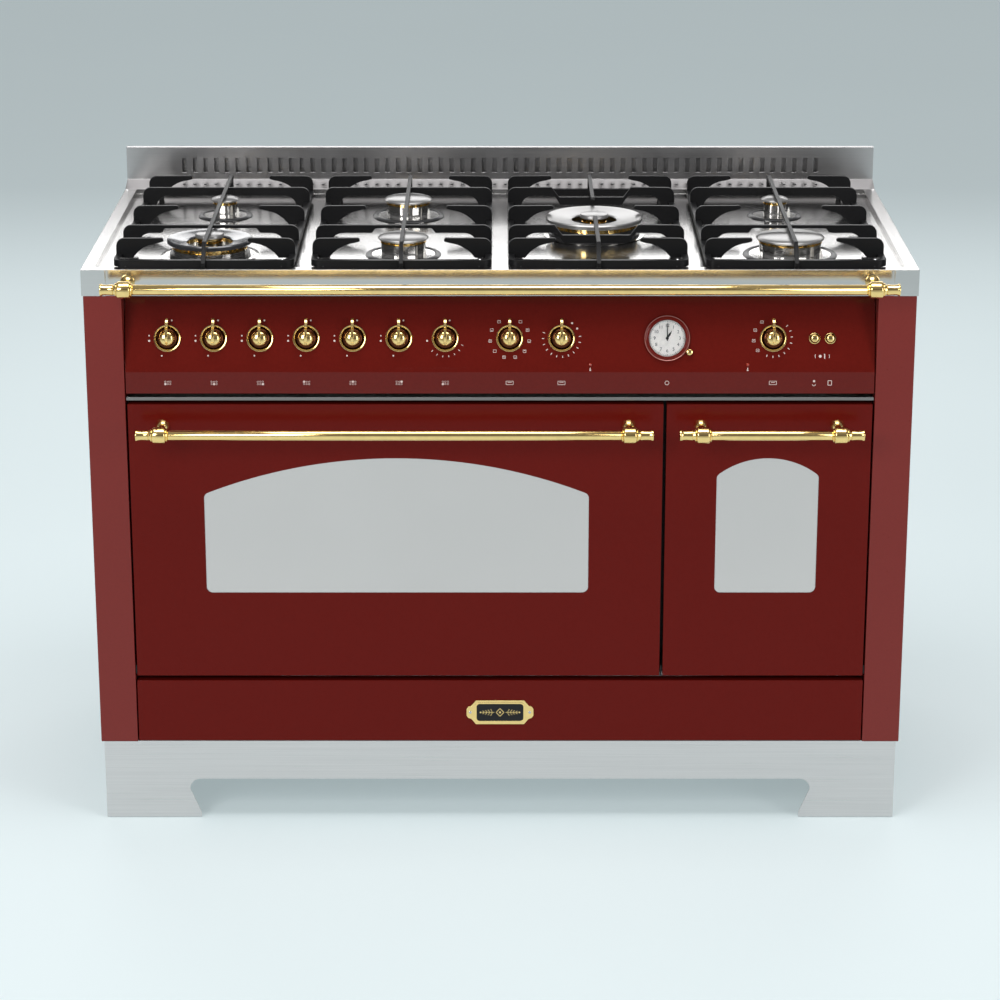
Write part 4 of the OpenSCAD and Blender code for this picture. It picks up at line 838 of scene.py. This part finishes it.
wires = bmesh.new()
rim_wire, rung_wire, wall_t = 0.002, 0.0013, 0.0012
rack_low, rack_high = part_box("oven_racks")
for cavity, levels in (("large_oven_cavity", (0.28, 0.6)), ("small_oven_cavity", (0.5,))):
    low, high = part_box(cavity)
    x0, x1 = low.x + 0.0075, high.x - 0.0075
    y0, y1 = rack_low.y + 0.002, rack_high.y - 0.002
    floor_z, roof_z = low.z + wall_t, high.z - wall_t
    for share in levels:
        z = floor_z + (roof_z - floor_z) * share + 0.0021
        for y in (y0, (y0 + y1) / 2, y1):
            wire(wires, (x0, y, z), (x1, y, z), rim_wire)
        for x in (x0, x1):
            wire(wires, (x, y0, z), (x, y1, z), rim_wire)
        count = round((x1 - x0) / 0.024)
        for k in range(1, count):
            x = x0 + (x1 - x0) * k / count
            wire(wires, (x, y0, z + 0.0028), (x, y1, z + 0.0028), rung_wire)
chromed = coated("chromed_wire", (0.72, 0.72, 0.73), 0.12, metal=1.0, grain=(200, 200, 200))
piece("wire_racks", wires, [chromed], "cabinet", ("oven_racks",))

# ---- Door seals ----
# Woven glass-fibre cord clipped round each oven's mouth, which the closed door presses on.


def seal_round(bm, low, high, y, radius):
    """A round cord along a rounded rectangle in x and z."""
    r = 0.016
    path = rounded(low[0], low[1], high[0], high[1], r)
    count, around = len(path), 10
    rings = []
    for k in range(count):
        ahead = Vector(path[(k + 1) % count]) - Vector(path[k - 1])
        side = Vector((ahead.y, -ahead.x)).normalized()
        rings.append([bm.verts.new((
            path[k][0] + side.x * radius * math.cos(2 * math.pi * j / around),
            y + radius * 0.85 * math.sin(2 * math.pi * j / around),
            path[k][1] + side.y * radius * math.cos(2 * math.pi * j / around)))
            for j in range(around)])
    for k in range(count):
        a, b = rings[k], rings[(k + 1) % count]
        for j in range(around):
            n = (j + 1) % around
            bm.faces.new((a[j], a[n], b[n], b[j]))


seals = bmesh.new()
seat_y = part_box("front_frame")[0].y
for cavity in ("large_oven_cavity", "small_oven_cavity"):
    low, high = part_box(cavity)
    seal_round(seals, (low.x - 0.006, low.z - 0.006), (high.x + 0.006, high.z + 0.006),
               seat_y - 0.0016, 0.0019)
weave = coated("seal_weave", (0.16, 0.155, 0.15), 0.8, grain=(800, 800, 800), drift=0.5,
               ripple=0.5)
piece("door_seals", seals, [weave], "cabinet")

# ---- Doors ----
# Each door is an enamelled outer pan with an arched window, a dark inner liner, and two
# panes of heat-reflecting glass that look like a soft mirror from outside.

door_enamel = coated("door_enamel", (0.12, 0.0065, 0.0042), 0.2, grain=(240, 240, 240),
                     drift=0.04, ripple=0.02, shine=0.09)
for node in ("large_door_panel", "small_door_panel", "drawer_front"):
    dress(node, door_enamel, 0.0009)
mirror_glass = coated("coated_glass", (0.64, 0.60, 0.585), 0.2, metal=0.92,
                      grain=(3, 3, 3), drift=0.03, ripple=0.0, coat=0.6)
for node in ("large_door_window", "small_door_window"):
    dress(node, mirror_glass, 0.0005)

# ---- Drawer ----
# An enamelled front on a zinc-coated box that runs on side rails. The badge is a brass frame
# with an ear and a screw at each end, round a black inlay with a plain engraved ornament.

dress("drawer_box", zinc, 0.0006)
inlay_black = coated("inlay_enamel", (0.006, 0.006, 0.007), 0.25, grain=(400, 400, 400),
                     shine=0.3)
low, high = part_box("drawer_badge")
badge_x, badge_z = (low.x + high.x) / 2, (low.z + high.z) / 2
face_on = facing((badge_x, high.y, badge_z), (0, -1, 0))
ear_w, body_w, badge_h = (high.x - low.x) / 2, 0.0395, (high.z - low.z) / 2
quarter = [(ear_w, 0.0), (ear_w, 0.0052), (ear_w - 0.0025, 0.0090), (body_w + 0.0035, 0.0105),
           (body_w, badge_h - 0.0045), (body_w - 0.0035, badge_h)]
outline = (quarter + [(-x, y) for x, y in reversed(quarter)]
           + [(-x, -y) for x, y in quarter[1:]] + [(x, -y) for x, y in reversed(quarter[1:])])
bm = bmesh.new()
plate(bm, outline, 0, 0.0021, face_on)
rim_out = rounded(-0.0372, -0.0158, 0.0372, 0.0158, 0.0065)
rim_in = rounded(-0.0350, -0.0136, 0.0350, 0.0136, 0.0048)
ring_start = len(bm.verts)
ring_of(bm, rim_out, rim_in, 0.0018, 0.0027)
bm.verts.ensure_lookup_table()
for v in bm.verts[ring_start:]:
    v.co = face_on @ v.co
plate(bm, rim_in, 0.0021, 0.0023, face_on, skin=1)
for side in (-1, 1):
    turned(bm, [(0, 0.0020), (0.0021, 0.0020), (0.0021, 0.0025), (0.0014, 0.0030),
                (0, 0.0031)], face_on @ Matrix.Translation((side * 0.0445, 0, 0)), 24, skin=2)
piece("badge_plate", bm, [brass, inlay_black, spindle_steel], "drawer",
      ("drawer_badge",), edge=0.0005)
bm = bmesh.new()
inlay = face_on @ Matrix.Translation((0, 0, 0.0023))
lozenge = [(0.0, 0.0062), (0.0058, 0.0), (0.0, -0.0062), (-0.0058, 0.0)]
for a, b in zip(lozenge, lozenge[1:] + lozenge[:1]):
    bar(bm, a, b, 0.0010, inlay)
dot(bm, (0, 0), 0.0016, inlay)
for side in (-1, 1):
    bar(bm, (side * 0.0085, 0), (side * 0.0265, 0), 0.0008, inlay)
    dot(bm, (side * 0.0290, 0), 0.0013, inlay)
    for k in range(4):
        tall = 0.0052 - k * 0.0009
        x = side * (0.0110 + k * 0.0040)
        for lift in (-1, 1):
            bar(bm, (x, 0), (x + side * 0.0030, lift * tall), 0.0007, inlay)
piece("badge_ornament", bm, [brass], "drawer")

# ---- Studio ----
# A wide pale floor that is lit a little from within, a soft grey surround, and large soft
# lights above, behind and to the sides.

floor_mesh = bpy.data.meshes.new("floor")
far = 30.0
floor_mesh.from_pydata([(-far, -far, 0), (far, -far, 0), (far, far, 0), (-far, far, 0)], [],
                       [(0, 1, 2, 3)])
floor = bpy.data.objects.new("floor", floor_mesh)
bpy.context.scene.collection.objects.link(floor)
pale_floor = coated("studio_floor", (0.50, 0.55, 0.56), 0.6, grain=(0.6, 0.6, 0.6),
                    drift=0.02, ripple=0.0, shine=0.2)
glow = pale_floor.node_tree.nodes["Principled BSDF"].inputs
glow["Emission Color"].default_value = (0.78, 0.92, 0.94, 1)
glow["Emission Strength"].default_value = 0.35
floor_mesh.materials.append(pale_floor)

surround = bpy.data.worlds.new("surround")
surround.use_nodes = True
sky = surround.node_tree
direction = sky.nodes.new("ShaderNodeTexCoord")
split = sky.nodes.new("ShaderNodeSeparateXYZ")
shade = sky.nodes.new("ShaderNodeValToRGB")
ramp = shade.color_ramp
ramp.elements[0].position = 0.0
ramp.elements[0].color = (0.62, 0.64, 0.65, 1)
ramp.elements[1].position = 0.22
ramp.elements[1].color = (0.13, 0.13, 0.135, 1)
overhead = ramp.elements.new(0.85)
overhead.color = (0.35, 0.35, 0.36, 1)
sky.links.new(direction.outputs["Generated"], split.inputs["Vector"])
sky.links.new(split.outputs["Z"], shade.inputs["Fac"])
sky.links.new(shade.outputs["Color"], sky.nodes["Background"].inputs["Color"])
sky.nodes["Background"].inputs["Strength"].default_value = 0.9
bpy.context.scene.world = surround


def soft_light(name, spot, aim, width, height, power):
    """A large soft lamp at spot, turned towards aim."""
    data = bpy.data.lights.new(name, "AREA")
    data.shape = "RECTANGLE"
    data.size, data.size_y = width, height
    data.energy = power
    lamp = bpy.data.objects.new(name, data)
    lamp.location = spot
    lamp.rotation_mode = "QUATERNION"
    lamp.rotation_quaternion = (Vector(aim) - Vector(spot)).to_track_quat("-Z", "Y")
    lamp.visible_camera = False
    bpy.context.scene.collection.objects.link(lamp)


soft_light("overhead", (0.0, -0.6, 3.2), (0, 0, 0.8), 2.6, 1.4, 60)
soft_light("key", (-2.4, -3.8, 2.6), (0, 0, 0.5), 1.8, 1.8, 80)
soft_light("fill", (2.8, -2.8, 1.6), (0, 0, 0.5), 1.2, 2.2, 35)
soft_light("back", (0.0, 3.4, 2.3), (0, 0, 0.85), 5.0, 1.2, 60)
bpy.context.scene.view_settings.view_transform = "Standard"

# ---- Camera ----
# A long lens at standing height, straight in front of the range and looking a little down.

lens_mm, stand_off, eye_height, aim_height, rail_reach = 111.0, 4.3, 1.87, 0.505, 0.062
front = cad_box[0].y + rail_reach
eye = Vector((0.0, front - stand_off, eye_height))
data = bpy.data.cameras.new("camera")
data.lens = lens_mm
data.sensor_width = 36.0
camera = bpy.data.objects.new("camera", data)
camera.location = eye
camera.rotation_mode = "QUATERNION"
aim = Vector((0.0, front, aim_height))
camera.rotation_quaternion = (aim - eye).to_track_quat("-Z", "Y")
bpy.context.scene.collection.objects.link(camera)
bpy.context.scene.camera = camera
